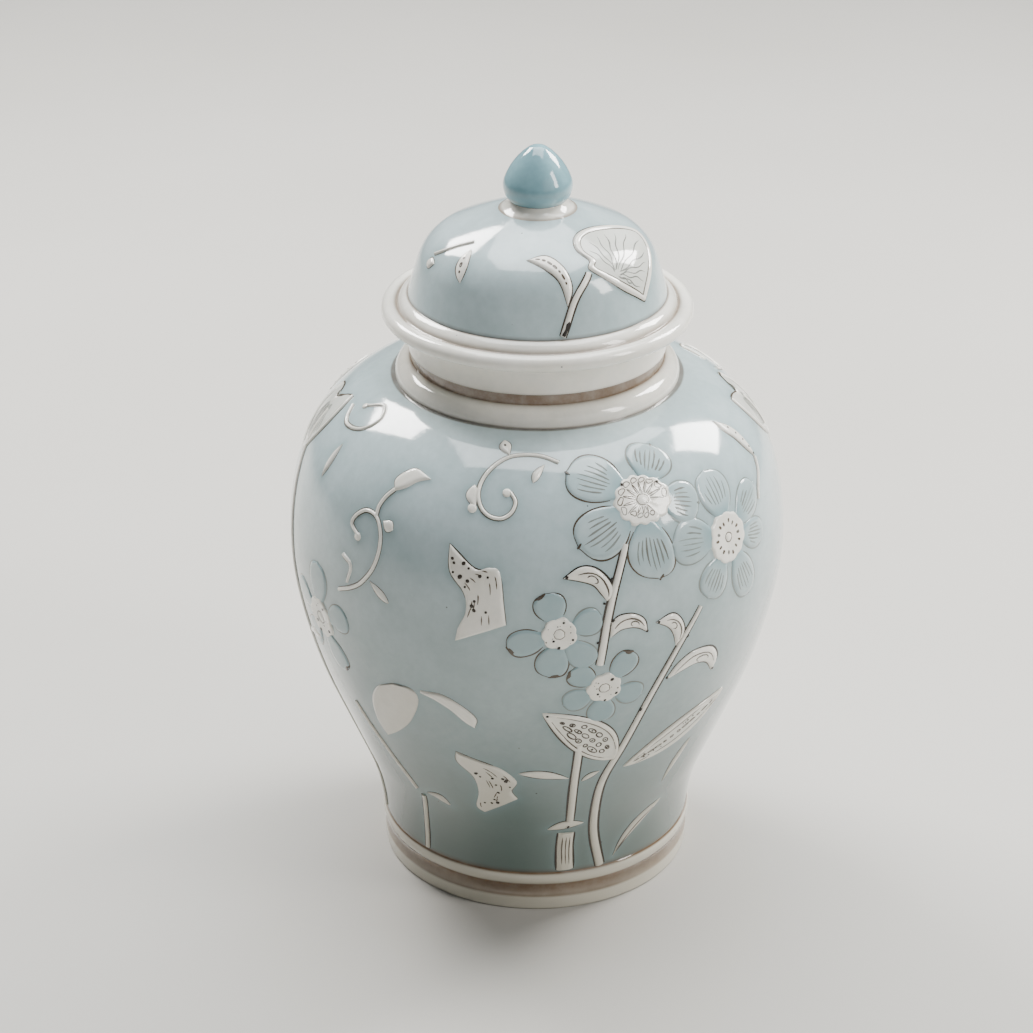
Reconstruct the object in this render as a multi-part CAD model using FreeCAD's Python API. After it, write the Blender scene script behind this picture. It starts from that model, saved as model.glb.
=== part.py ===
import FreeCAD, Part
import math
import os

# Lidded baluster jar in glazed porcelain. Millimetres, +Z up, origin at the centre of the standing face.
# A profile is a chain of tangent lines and arcs in the radius-height plane. Its heading is measured from
# +Z towards larger radius, and a negative sweep turns it back towards the axis. The bud's chain ends at
# the top of the jar, 305 mm up.

WALL = 5.5
RELIEF = 0.8

FOOT_RADIUS = 63.9
FOOT_HEIGHT = 17.9
FOOT_INNER_RADIUS = 54.0
FOOT_GROOVE = (5.9, 12.5)
FOOT_GROOVE_DEPTH = 0.8
FOOT_BEAD_PROUD = 0.9
BASE_UNDERSIDE = 12.0
FLOOR_TOP = 19.5
FLOOR_FILLET = 8.0

BODY_HEADING = 5.7
BODY_STEPS = [
    ("line", 4.6, 0.0),
    ("arc", 86.5, 16.8),
    ("line", 35.8, 0.0),
    ("arc", 222.8, -12.8),
    ("arc", 105.0, -28.3),
    ("arc", 50.6, -58.4),
]
BODY_SEAM = 130.0

NECK_BORE_RADIUS = 44.5
NECK_RADIUS = 50.5
NECK_WAIST_RADIUS = 50.1
NECK_LIP_RADIUS = 50.9
NECK_BEAD_RADIUS = 55.1
NECK_BEAD_FOOT_RADIUS = 56.0
NECK_BEAD_TOP = 219.0
STRIPE_TOP = 223.7
STRIPE_DEPTH = 0.6
RIM_TOP = 236.3
RIM_EDGE = 0.9

ROLL_CENTRE = (57.85, 239.5)
ROLL_RADIUS = 3.2
FLANGE_GROOVE = (54.9, 241.9)
FLANGE_BEAD_CREST = (52.9, 244.6)
DOME_BASE = (50.6, 245.7)
RING_RADIUS = 42.0
RING_WALL = 4.0
RING_DEPTH = 10.5
RING_EDGE = 0.8

DOME_WALL = 5.0
DOME_HEADING = -14.4
DOME_STEPS = [("arc", 200.0, -4.2), ("arc", 20.1, -46.2), ("arc", 200.0, -6.4)]

COLLAR_TOP_RADIUS = 10.8
COLLAR_TOP = 283.2
COLLAR_HOLLOW = 0.41
BUD_HEADING = 47.8
BUD_STEPS = [("arc", 8.1, -68.7), ("arc", 26.0, -33.5), ("arc", 5.6, -35.6)]

# Range of angles that one side's relief covers. The other side is the same relief half a turn on.
SIDE_START = -205.0
SIDE_SWEEP = 215.0
HALF_TURN = 180.0
BELLY_REACH = 110.0
PRESS_DEPTH = 40.0
PRESS_RISE = 20.0
SMALLEST_CRUMB = 1.5
SAME_PLACE = 0.01

Z_AXIS = FreeCAD.Vector(0, 0, 1)
ORIGIN = FreeCAD.Vector(0, 0, 0)


def point(radius, height):
    return FreeCAD.Vector(radius, 0, height)


def walk(start, heading, steps):
    """The chain's segments as (kind, radius, height, heading, size, sweep), and where it ends."""
    radius, height, turn = start[0], start[1], math.radians(heading)
    segments = []
    for kind, size, sweep_degrees in steps:
        sweep = math.radians(sweep_degrees)
        segments.append((kind, radius, height, turn, size, sweep))
        radius, height, turn = advance(segments[-1], 1.0)
    return segments, (radius, height, turn)


def advance(segment, share):
    """Radius, height and heading after a share of one segment."""
    kind, radius, height, heading, size, sweep = segment
    if kind == "line":
        run = size * share
        return radius + run * math.sin(heading), height + run * math.cos(heading), heading
    side = math.copysign(1.0, sweep)
    end = heading + sweep * share
    return (
        radius + side * size * (math.cos(heading) - math.cos(end)),
        height + side * size * (math.sin(end) - math.sin(heading)),
        end,
    )


def offset(segments, distance):
    """The same chain moved out along its own normal by the distance."""
    moved = []
    for kind, radius, height, heading, size, sweep in segments:
        if kind == "arc":
            size -= distance * math.copysign(1.0, sweep)
        moved.append((
            kind,
            radius + distance * math.cos(heading),
            height - distance * math.sin(heading),
            heading,
            size,
            sweep,
        ))
    return moved


def chain_edges(segments):
    edges = []
    for segment in segments:
        start, middle, end = (point(*advance(segment, share)[:2]) for share in (0.0, 0.5, 1.0))
        if segment[0] == "line":
            edges.append(Part.LineSegment(start, end).toShape())
        else:
            edges.append(Part.Arc(start, middle, end).toShape())
    return edges


def wall_at(segments, height):
    """Radius and heading of a chain at a height."""
    for segment in segments:
        kind, radius, start, heading, size, sweep = segment
        if height > advance(segment, 1.0)[1] and segment is not segments[-1]:
            continue
        if kind == "line":
            return radius + (height - start) * math.tan(heading), heading
        side = math.copysign(1.0, sweep)
        reached = math.asin(math.sin(heading) + side * (height - start) / size)
        return radius + side * size * (math.cos(heading) - math.cos(reached)), reached


def line(*corners):
    """Straight edges through (radius, height) corners."""
    points = [point(*corner) for corner in corners]
    return [Part.LineSegment(a, b).toShape() for a, b in zip(points, points[1:])]


def arc(start, middle, end):
    return [Part.Arc(point(*start), point(*middle), point(*end)).toShape()]


def turned(edges, start=0.0, sweep=360.0):
    """The closed outline revolved about the jar's axis."""
    ordered = Part.__sortEdges__(edges)
    face = Part.Face(Part.Wire(ordered))
    if start:
        face.rotate(ORIGIN, Z_AXIS, start)
    solid = face.revolve(ORIGIN, Z_AXIS, sweep)
    return solid if solid.Volume > 0 else solid.reversed()


def save(node, shape):
    solids = [solid for solid in shape.Solids if solid.Volume > SMALLEST_CRUMB]
    kept = solids[0] if len(solids) == 1 else Part.makeCompound(solids)
    assert solids and all(solid.isValid() for solid in solids), node
    kept.exportStep(f"parts/{node}.step")
    print(f"{node}: {len(solids)} solid(s), {sum(solid.Volume for solid in solids):.0f} mm3")


# Turned pieces

def foot_ring():
    groove_low, groove_high = FOOT_GROOVE
    groove_middle = (groove_low + groove_high) / 2
    bead_middle = (groove_high + FOOT_HEIGHT) / 2
    edge = 1.0
    return turned(
        line((FOOT_INNER_RADIUS, FOOT_HEIGHT), (FOOT_INNER_RADIUS, edge), (FOOT_INNER_RADIUS + edge, 0.0),
             (FOOT_RADIUS - edge, 0.0), (FOOT_RADIUS, edge), (FOOT_RADIUS, groove_low))
        + arc((FOOT_RADIUS, groove_low), (FOOT_RADIUS - FOOT_GROOVE_DEPTH, groove_middle),
              (FOOT_RADIUS, groove_high))
        + arc((FOOT_RADIUS, groove_high), (FOOT_RADIUS + FOOT_BEAD_PROUD, bead_middle),
              (FOOT_RADIUS, FOOT_HEIGHT))
        + line((FOOT_RADIUS, FOOT_HEIGHT), (FOOT_INNER_RADIUS, FOOT_HEIGHT))
    )


def jar_body(wall, shoulder):
    """The lower and upper body, joined at the belly seam."""
    top_radius, top_height, _ = shoulder
    outside = turned(
        chain_edges(wall)
        + line((top_radius, top_height), (0, top_height), (0, BASE_UNDERSIDE),
               (FOOT_INNER_RADIUS, BASE_UNDERSIDE), (FOOT_INNER_RADIUS, FOOT_HEIGHT),
               (FOOT_RADIUS, FOOT_HEIGHT))
    )
    lining = offset(wall, -WALL)
    start_radius, start_height = lining[0][1:3]
    end_radius, end_height, _ = advance(lining[-1], 1.0)
    above = top_height + 1.0
    hollow = turned(
        chain_edges(lining)
        + line((end_radius, end_height), (NECK_BORE_RADIUS, end_height), (NECK_BORE_RADIUS, above),
               (0, above), (0, start_height), (start_radius, start_height))
    )
    hollow = hollow.cut(Part.makeCylinder(FOOT_RADIUS, FLOOR_TOP))
    corner = [edge for edge in hollow.Edges
              if abs(edge.BoundBox.ZMax - FLOOR_TOP) < 0.01 and edge.BoundBox.ZLength < 0.01
              and edge.BoundBox.XMax > FOOT_INNER_RADIUS]
    shell = outside.cut(hollow.makeFillet(FLOOR_FILLET, corner))
    below = Part.makeCylinder(BELLY_REACH, BODY_SEAM)
    return shell.common(below), shell.cut(below)


def neck_collar(seat_height):
    stripe_radius = NECK_RADIUS - STRIPE_DEPTH
    waist_height = (STRIPE_TOP + RIM_TOP) / 2
    bead_middle = (NECK_BEAD_RADIUS - 0.5, (seat_height + NECK_BEAD_TOP) / 2 + 1.4)
    return turned(
        arc((NECK_BEAD_FOOT_RADIUS, seat_height), bead_middle, (NECK_RADIUS + 0.3, NECK_BEAD_TOP))
        + line((NECK_RADIUS + 0.3, NECK_BEAD_TOP), (stripe_radius, NECK_BEAD_TOP + 0.4),
               (stripe_radius, STRIPE_TOP - 0.4), (NECK_RADIUS, STRIPE_TOP))
        + arc((NECK_RADIUS, STRIPE_TOP), (NECK_WAIST_RADIUS, waist_height),
              (NECK_LIP_RADIUS, RIM_TOP - RIM_EDGE))
        + arc((NECK_LIP_RADIUS, RIM_TOP - RIM_EDGE),
              (NECK_LIP_RADIUS - RIM_EDGE * 0.3, RIM_TOP - RIM_EDGE * 0.3),
              (NECK_LIP_RADIUS - RIM_EDGE, RIM_TOP))
        + line((NECK_LIP_RADIUS - RIM_EDGE, RIM_TOP), (NECK_BORE_RADIUS + RIM_EDGE, RIM_TOP))
        + arc((NECK_BORE_RADIUS + RIM_EDGE, RIM_TOP),
              (NECK_BORE_RADIUS + RIM_EDGE * 0.3, RIM_TOP - RIM_EDGE * 0.3),
              (NECK_BORE_RADIUS, RIM_TOP - RIM_EDGE))
        + line((NECK_BORE_RADIUS, RIM_TOP - RIM_EDGE), (NECK_BORE_RADIUS, seat_height),
               (NECK_BEAD_FOOT_RADIUS, seat_height))
    )


def lid_flange():
    roll_radius, roll_height = ROLL_CENTRE
    roll_outer = (roll_radius + ROLL_RADIUS, roll_height)
    roll_top = (roll_radius, roll_height + ROLL_RADIUS)
    quarter = ROLL_RADIUS * math.sqrt(0.5)
    ring_inner = RING_RADIUS - RING_WALL
    dome_inner = DOME_BASE[0] - DOME_WALL
    bead_shoulder = (FLANGE_GROOVE[0] - 0.4, FLANGE_GROOVE[1] + 0.2)
    return turned(
        line((dome_inner, DOME_BASE[1]), DOME_BASE)
        + arc(DOME_BASE, FLANGE_BEAD_CREST, bead_shoulder)
        + arc(bead_shoulder, FLANGE_GROOVE, (FLANGE_GROOVE[0] + 0.5, FLANGE_GROOVE[1] + 0.1))
        + arc((FLANGE_GROOVE[0] + 0.5, FLANGE_GROOVE[1] + 0.1), (roll_radius - 1.2, roll_top[1] - 0.2),
              roll_top)
        + arc(roll_top, (roll_radius + quarter, roll_height + quarter), roll_outer)
        + arc(roll_outer, (roll_radius + quarter, roll_height - quarter), (roll_radius, RIM_TOP))
        + line((roll_radius, RIM_TOP), (ring_inner, RIM_TOP), (dome_inner, DOME_BASE[1]))
    )


def locating_ring():
    inner = RING_RADIUS - RING_WALL
    bottom = RIM_TOP - RING_DEPTH
    return turned(
        line((RING_RADIUS, RIM_TOP), (RING_RADIUS, bottom + RING_EDGE), (RING_RADIUS - RING_EDGE, bottom),
             (inner + RING_EDGE, bottom), (inner, bottom + RING_EDGE), (inner, RIM_TOP),
             (RING_RADIUS, RIM_TOP))
    )


def lid_dome(dome, crown):
    lining = offset(dome, -DOME_WALL)
    start_radius, start_height = lining[0][1:3]
    end_radius, end_height, _ = advance(lining[-1], 1.0)
    foot_radius = DOME_BASE[0] - DOME_WALL
    outside = turned(chain_edges(dome) + line(crown[:2], (0, crown[1]), (0, DOME_BASE[1]), DOME_BASE))
    hollow = turned(
        chain_edges(lining)
        + line((end_radius, end_height), (0, end_height), (0, DOME_BASE[1] - 2.0),
               (foot_radius, DOME_BASE[1] - 2.0), (foot_radius, start_height), (start_radius, start_height))
    )
    return outside.cut(hollow)


def finial_collar(seat):
    radius, height, _ = seat
    middle = (COLLAR_TOP_RADIUS + (radius - COLLAR_TOP_RADIUS) * COLLAR_HOLLOW,
              height + (COLLAR_TOP - height) * COLLAR_HOLLOW)
    return turned(
        line((0, height), (radius, height))
        + arc((radius, height), middle, (COLLAR_TOP_RADIUS, COLLAR_TOP))
        + line((COLLAR_TOP_RADIUS, COLLAR_TOP), (0, COLLAR_TOP), (0, height))
    )


def finial_bud():
    flank, tip = walk((COLLAR_TOP_RADIUS, COLLAR_TOP), BUD_HEADING, BUD_STEPS)
    radius, top, _ = tip
    return turned(
        chain_edges(flank)
        + line((radius, top), (0, top), (0, COLLAR_TOP), (COLLAR_TOP_RADIUS, COLLAR_TOP))
    )


# Flat outlines of the relief, each lying along +X from its own base point

def lens(start, end, width, belly=0.5, bend=0.0):
    """A pointed petal or leaf. Belly is how far along it is widest, bend its sideways bow."""
    run = end - start
    swell = width * 4 / 3
    sides = []
    for side in (1, -1):
        near = side * swell * (1 - belly) + bend
        far = side * swell * belly + bend
        curve = Part.BezierCurve()
        curve.setPoles([FreeCAD.Vector(start, 0, 0), FreeCAD.Vector(start + run * 0.2, near, 0),
                        FreeCAD.Vector(start + run * 0.85, far, 0), FreeCAD.Vector(end, 0, 0)])
        sides.append(curve.toShape())
    return Part.Face(Part.Wire(Part.__sortEdges__(sides)))


def disc(radius):
    return Part.Face(Part.Wire(Part.makeCircle(radius)))


def oval(long_radius, short_radius):
    return Part.Face(Part.Wire(Part.Ellipse(ORIGIN, long_radius, short_radius).toShape()))


def heart(length, width):
    """A heart leaf: the notch is at the base point and the tip lies along +X."""
    sides = []
    for side in (1, -1):
        curve = Part.BezierCurve()
        curve.setPoles([
            FreeCAD.Vector(0, 0, 0),
            FreeCAD.Vector(-0.4 * length, side * 0.75 * width, 0),
            FreeCAD.Vector(0.55 * length, side * 0.62 * width, 0),
            FreeCAD.Vector(length, 0, 0),
        ])
        sides.append(curve.toShape())
    return Part.Face(Part.Wire(Part.__sortEdges__(sides)))


def ribbon(points, width, end_width):
    """A band along a curve through the points, with square ends."""
    lanes = ([], [])
    last = len(points) - 1
    for index, here in enumerate(points):
        ahead = points[min(index + 1, last)] - points[max(index - 1, 0)]
        across = FreeCAD.Vector(-ahead.y, ahead.x, 0).normalize()
        half = (width + (end_width - width) * index / last) / 2
        lanes[0].append(here + across * half)
        lanes[1].append(here - across * half)
    edges = []
    for lane in lanes:
        curve = Part.BSplineCurve()
        curve.interpolate(lane)
        edges.append(curve.toShape())
    edges.append(Part.LineSegment(lanes[0][0], lanes[1][0]).toShape())
    edges.append(Part.LineSegment(lanes[0][-1], lanes[1][-1]).toShape())
    return Part.Face(Part.Wire(Part.__sortEdges__(edges)))


# Laying the relief on a wall

def seat(wall, angle, height):
    """The frame on the wall there: X to the right, Y up along the wall, Z straight out of it."""
    radius, heading = wall_at(wall, height)
    turn = math.radians(angle)
    cosine, sine = math.cos(turn), math.sin(turn)
    across = FreeCAD.Vector(-sine, cosine, 0)
    up = FreeCAD.Vector(math.sin(heading) * cosine, math.sin(heading) * sine, math.cos(heading))
    out = FreeCAD.Vector(math.cos(heading) * cosine, math.cos(heading) * sine, -math.sin(heading))
    return FreeCAD.Placement(
        FreeCAD.Vector(radius * cosine, radius * sine, height), FreeCAD.Rotation(across, up, out, "XYZ")
    )


def press(wall, angle, height, turn, face):
    """The outline as a deep block, square to the wall at that angle and height."""
    face = face.copy()
    face.rotate(ORIGIN, Z_AXIS, turn)
    face.translate(FreeCAD.Vector(0, 0, -PRESS_DEPTH))
    block = face.extrude(FreeCAD.Vector(0, 0, PRESS_DEPTH + PRESS_RISE))
    block.Placement = seat(wall, angle, height).multiply(block.Placement)
    return block


def stem(wall, places, width, end_width):
    """A band through (angle, height) places on the wall."""
    angle, height = places[len(places) // 2]
    frame = seat(wall, angle, height).inverse()
    flat = [frame.multVec(seat(wall, *place).Base) for place in places]
    flat = [FreeCAD.Vector(spot.x, spot.y, 0) for spot in flat]
    return press(wall, angle, height, 0.0, ribbon(flat, width, end_width))


def leaf(wall, base, tip, width, belly=0.5, bend=0.0):
    """A pointed leaf between two (angle, height) places."""
    frame = seat(wall, *base).inverse()
    reach = frame.multVec(seat(wall, *tip).Base)
    turn = math.degrees(math.atan2(reach.y, reach.x))
    return press(wall, base[0], base[1], turn, lens(0.0, math.hypot(reach.x, reach.y), width, belly, bend))


def outlined(wall, centre, places):
    """A leaf inside a smooth outline of (angle, height) places that starts and ends at its tip."""
    frame = seat(wall, *centre).inverse()
    flat = [frame.multVec(seat(wall, *place).Base) for place in places]
    flat = [FreeCAD.Vector(spot.x, spot.y, 0) for spot in flat]
    curve = Part.BSplineCurve()
    curve.interpolate(flat + flat[:1])
    return press(wall, centre[0], centre[1], 0.0, Part.Face(Part.Wire(curve.toShape())))


def sided(wall, sides):
    """A leaf between two smooth lines of (angle, height) places, both drawn from its base to its tip."""
    angle, height = sides[0][len(sides[0]) // 2]
    frame = seat(wall, angle, height).inverse()
    edges = []
    ends = []
    for places in sides:
        flat = [frame.multVec(seat(wall, *place).Base) for place in places]
        flat = [FreeCAD.Vector(spot.x, spot.y, 0) for spot in flat]
        curve = Part.BSplineCurve()
        curve.interpolate(flat)
        edges.append(curve.toShape())
        ends.append((flat[0], flat[-1]))
    for here, there in zip(*ends):
        if here.distanceToPoint(there) > SAME_PLACE:
            edges.append(Part.LineSegment(here, there).toShape())
    return press(wall, angle, height, 0.0, Part.Face(Part.Wire(Part.__sortEdges__(edges))))


def flower(wall, centre, inner, petals):
    """Petals round a flower's centre, each with its direction, reach and width."""
    return [press(wall, centre[0], centre[1], direction, lens(inner, reach, width, 0.62))
            for direction, reach, width in petals]


# Flowers: the disc's centre, and each petal's direction, reach and width.
LARGE_FLOWER = (-63.4, 193.2)
LARGE_PETALS = [(60, 24.0, 18.0), (142, 30.5, 19.0), (206, 31.0, 19.0), (267, 30.0, 19.0), (347, 25.0, 16.0)]
SIDE_FLOWER = (-41.5, 170.7)
SIDE_PETALS = [(28, 28.0, 14.0), (92, 27.5, 17.0), (165, 28.5, 17.5), (234, 25.0, 15.0), (292, 30.5, 14.0),
               (345, 26.0, 12.0)]
UPPER_FLOWER = (-85.5, 148.0)
UPPER_PETALS = [(20, 17.5, 11.0), (107, 17.5, 12.0), (196, 21.0, 11.0), (258, 20.0, 12.5), (311, 19.7, 11.0)]
LOWER_FLOWER = (-75.0, 121.8)
LOWER_PETALS = [(54, 19.0, 10.5), (145, 17.0, 10.0), (205, 17.5, 10.5), (268, 18.0, 11.0), (335, 17.5, 10.5)]
LEFT_FLOWER = (-149.4, 128.5)
LEFT_PETALS = [(20, 22.0, 12.0), (88, 25.0, 14.0), (160, 22.0, 12.0), (228, 23.0, 12.0), (296, 24.0, 13.0)]

# Leaves: two edges, each from the leaf's base to its tip.
HOOKED_LEAVES = [
    ([(-74.0, 161.1), (-73.5, 164.4), (-75.2, 169.7), (-77.9, 173.2), (-81.0, 173.4), (-84.6, 169.8)],
     [(-75.0, 159.8), (-76.3, 163.1), (-77.9, 166.5), (-80.8, 168.4), (-84.6, 169.8)]),
    ([(-74.1, 151.1), (-72.0, 153.2), (-68.9, 153.0), (-66.4, 149.9), (-65.5, 144.0)],
     [(-74.3, 144.3), (-72.0, 147.1), (-69.3, 147.5), (-67.3, 146.4), (-65.5, 144.0)]),
    ([(-56.9, 137.6), (-56.0, 141.0), (-57.1, 146.2), (-59.5, 149.4), (-63.6, 147.4)],
     [(-58.1, 134.4), (-59.0, 140.5), (-60.6, 144.3), (-63.6, 147.4)]),
    ([(-59.3, 120.0), (-56.7, 125.5), (-52.6, 129.0), (-47.0, 127.5), (-44.1, 121.0), (-45.1, 114.5)],
     [(-58.6, 119.4), (-54.7, 121.3), (-51.0, 122.2), (-47.6, 120.2), (-45.1, 114.5)]),
]
ROUND_LEAF = (
    [(-133.9, 81.2), (-135.8, 89.3), (-135.0, 100.0), (-131.5, 109.0), (-125.9, 114.3)],
    [(-133.9, 81.2), (-127.6, 88.5), (-122.5, 97.5), (-119.2, 109.0), (-120.7, 114.6), (-125.9, 114.3)],
)
ROUND_LEAF_ARM = ([(-118.2, 115.1), (-112.6, 115.4), (-107.8, 111.4), (-104.7, 106.0), (-105.3, 100.7)],
                  [(-118.3, 113.7), (-114.9, 112.1), (-111.0, 108.4), (-107.8, 103.4), (-105.3, 100.7)])
SHOULDER_LEAF = ([(-19.9, 188.3), (-19.4, 192.1), (-19.8, 196.7), (-21.4, 201.0), (-25.9, 204.7)],
                 [(-19.9, 188.3), (-22.0, 193.2), (-23.5, 197.6), (-25.4, 201.3), (-25.9, 204.7)])
SCROLL_LEAF = ([(-128.3, 192.8), (-129.4, 195.6), (-127.8, 198.4), (-124.7, 200.4), (-119.2, 198.6)],
               [(-128.0, 192.5), (-125.3, 194.3), (-122.6, 197.0), (-119.2, 198.6)])
UPPER_BUTTERFLY = (
    [(-108.3, 142.5), (-107.6, 148.5), (-105.9, 155.5), (-106.5, 162.8), (-110.0, 170.2), (-110.6, 180.1)],
    [(-97.0, 151.4), (-97.6, 160.0), (-98.6, 171.8), (-101.2, 173.2), (-104.2, 172.3), (-110.6, 180.1)],
)
LOWER_BUTTERFLY = (
    [(-106.9, 50.2), (-109.2, 53.5), (-107.5, 62.5), (-108.2, 72.0), (-112.0, 79.5), (-111.6, 85.4)],
    [(-95.8, 60.8), (-97.4, 65.5), (-95.7, 71.5), (-99.5, 78.4), (-104.0, 81.2), (-111.6, 85.4)],
)

# Scrolls: the places that each cord runs through.
SHOULDER_CORD = [
    (-84.0, 205.9), (-88.4, 207.3), (-93.3, 207.7), (-98.7, 207.1), (-102.5, 205.0), (-104.9, 201.7),
    (-105.6, 197.6), (-104.4, 193.5), (-102.1, 190.9), (-99.1, 190.3), (-96.7, 192.2), (-95.8, 195.5),
    (-97.2, 198.2),
]
HANGING_CORD = [
    (-135.6, 173.4), (-138.0, 176.2), (-137.3, 179.8), (-134.5, 183.1), (-131.0, 182.4), (-128.9, 177.7),
    (-128.4, 171.2), (-129.6, 163.3), (-132.7, 155.8), (-136.1, 151.5), (-140.1, 148.2),
]

JAR_SPRIGS = {
    "large_flower_disc": lambda w: [press(w, *LARGE_FLOWER, 0, oval(12.4, 9.9))],
    "side_flower_disc": lambda w: [press(w, *SIDE_FLOWER, 0, disc(10.5))],
    "upper_small_flower_disc": lambda w: [press(w, *UPPER_FLOWER, 0, disc(7.0))],
    "lower_small_flower_disc": lambda w: [press(w, *LOWER_FLOWER, 0, disc(7.2))],
    "tall_stem": lambda w: [stem(w, [(-66.5, 18.6), (-70.5, 40), (-71.5, 66), (-67.8, 88), (-63.2, 112),
                                     (-57.6, 133), (-51.6, 148.5)], 3.6, 1.8)],
    "short_stem": lambda w: [stem(w, [(-69.8, 180), (-73.1, 164.3), (-75.0, 150.9), (-76.4, 133)], 2.4, 2.9)],
    "large_flower_petals": lambda w: flower(w, LARGE_FLOWER, 8.0, LARGE_PETALS),
    "side_flower_petals": lambda w: flower(w, SIDE_FLOWER, 8.0, SIDE_PETALS),
    "upper_small_flower_petals": lambda w: flower(w, UPPER_FLOWER, 5.0, UPPER_PETALS),
    "lower_small_flower_petals": lambda w: flower(w, LOWER_FLOWER, 5.0, LOWER_PETALS),
    "low_stem": lambda w: [stem(w, [(-79.5, 93), (-79.6, 72), (-79.2, 46)], 2.9, 2.9),
                           leaf(w, (-86.5, 41.5), (-74.4, 44.0), 4.6, 0.5, 1.6),
                           stem(w, [(-80.0, 39), (-80.2, 32), (-80.0, 25), (-79.8, 19.2)], 6.4, 6.8)],
    "broad_leaf": lambda w: [leaf(w, (-69.5, 82.5), (-89.0, 111.0), 17.5, 0.42, -3.5)],
    "long_leaf": lambda w: [leaf(w, (-66.0, 75.5), (-36.8, 99.5), 12.0, 0.52, 0.6)],
    "crescent_leaves": lambda w: [sided(w, sides) for sides in HOOKED_LEAVES] + [
        leaf(w, (-81.2, 73.0), (-95.2, 76.5), 4.6, 0.55, -1.8),
        leaf(w, (-77.6, 70.5), (-72.8, 75.5), 2.6, 0.5, 0.8),
        leaf(w, (-61.5, 20.5), (-43.5, 43.5), 4.6, 0.6, 3.6),
        leaf(w, (-47.5, 55.0), (-43.0, 78.0), 3.0, 0.6, 1.4),
    ],
    "shoulder_scroll": lambda w: [
        stem(w, SHOULDER_CORD, 1.5, 1.3),
        leaf(w, (-98.8, 207.4), (-101.6, 210.4), 4.4, 0.6, 0.6),
        leaf(w, (-105.4, 192.6), (-107.0, 199.4), 4.6, 0.6, 1.6),
        leaf(w, (-88.0, 205.6), (-91.5, 200.9), 3.0, 0.6, -0.8),
    ],
    "hanging_scroll": lambda w: [
        stem(w, [(-128.3, 193.0), (-130.0, 190.0), (-131.1, 186.2), (-131.1, 182.4)], 1.6, 1.4),
        sided(w, SCROLL_LEAF),
        stem(w, HANGING_CORD, 1.4, 1.5),
        leaf(w, (-128.8, 181.8), (-125.6, 179.8), 4.8, 0.6),
        leaf(w, (-130.4, 158.0), (-124.6, 151.4), 3.2, 0.6),
        stem(w, [(-139.3, 163.4), (-136.3, 160.4), (-137.2, 153.2)], 1.8, 1.2),
    ],
    "edge_scroll": lambda w: [
        stem(w, [(-166.0, 205.0), (-160.0, 201.5), (-152.0, 203.0), (-149.0, 207.2), (-154.0, 209.4),
                 (-160.0, 207.4)], 1.5, 1.3),
        leaf(w, (-154.0, 197.0), (-155.0, 184.0), 3.4, 0.5),
    ],
    "upper_butterfly": lambda w: [sided(w, UPPER_BUTTERFLY)],
    "lower_butterfly": lambda w: [sided(w, LOWER_BUTTERFLY)],
    "round_leaf_spray": lambda w: [
        sided(w, ROUND_LEAF),
        sided(w, ROUND_LEAF_ARM),
        stem(w, [(-134.0, 19.0), (-132.4, 34), (-129.2, 50)], 2.4, 2.0),
        stem(w, [(-131.2, 53), (-138.0, 72), (-144.0, 92)], 1.8, 1.4),
        leaf(w, (-127.4, 52.5), (-118.8, 49.5), 3.6, 0.6, 3.0),
    ],
    "bud_flower_disc": lambda w: [press(w, *LEFT_FLOWER, 0, disc(9.0))],
    "bud_flower_petals": lambda w: flower(w, LEFT_FLOWER, 7.0, LEFT_PETALS),
    "heart_leaf": lambda w: [
        press(w, -178.0, 201.0, -78, heart(24.0, 26.0)),
        stem(w, [(-175.5, 198), (-171.5, 176), (-167.5, 150), (-164.5, 122), (-163.5, 92), (-165.5, 56),
                 (-167.5, 19.5)], 2.6, 3.2),
        leaf(w, (-163.0, 110.0), (-152.0, 116.0), 5.0, 0.6, 3.0),
        leaf(w, (-166.5, 76.0), (-178.0, 93.0), 6.0, 0.6, -3.0),
        sided(w, SHOULDER_LEAF),
        stem(w, [(-19.9, 188.8), (-21.6, 184.5), (-24.6, 180), (-26.2, 176)], 1.5, 1.2),
    ],
}

LID_SPRIGS = {
    "lid_heart_leaf": lambda w: [outlined(w, (-38.0, 268.0), [
        (-34.2, 252.2), (-22.0, 260.0), (-8.7, 266.5), (-1.0, 270.5), (-7.5, 273.8), (-36.8, 276.8),
        (-62.7, 275.4), (-65.6, 272.5), (-60.2, 268.0), (-48.5, 260.6)])],
    "lid_stem": lambda w: [stem(w, [(-79.5, 247.0), (-72.8, 259.8), (-63.0, 267.6)], 2.2, 2.0)],
    "lid_crescent_leaf": lambda w: [outlined(w, (-84.0, 267.0), [
        (-76.6, 257.5), (-73.6, 264.0), (-76.0, 270.0), (-85.0, 272.8), (-97.0, 272.6), (-97.5, 270.6),
        (-86.0, 269.6), (-79.6, 266.0)])],
    "lid_scroll": lambda w: [leaf(w, (-130.5, 262.5), (-136.0, 272.0), 5.0, 0.5, 1.0),
                             stem(w, [(-140.0, 273.6), (-148.0, 271.4), (-158.0, 267.0)], 1.5, 1.5),
                             leaf(w, (-153.0, 264.6), (-160.0, 263.4), 4.4, 0.6)],
}


def relief_layer(wall):
    """The skin that the relief fills, lying on one side of the wall."""
    skin = offset(wall, RELIEF)
    ends = [(advance(wall[-1], 1.0)[:2], advance(skin[-1], 1.0)[:2]), (wall[0][1:3], skin[0][1:3])]
    edges = chain_edges(wall) + chain_edges(skin)
    for inner, outer in ends:
        edges += line(inner, outer)
    return turned(edges, SIDE_START, SIDE_SWEEP)


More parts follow.
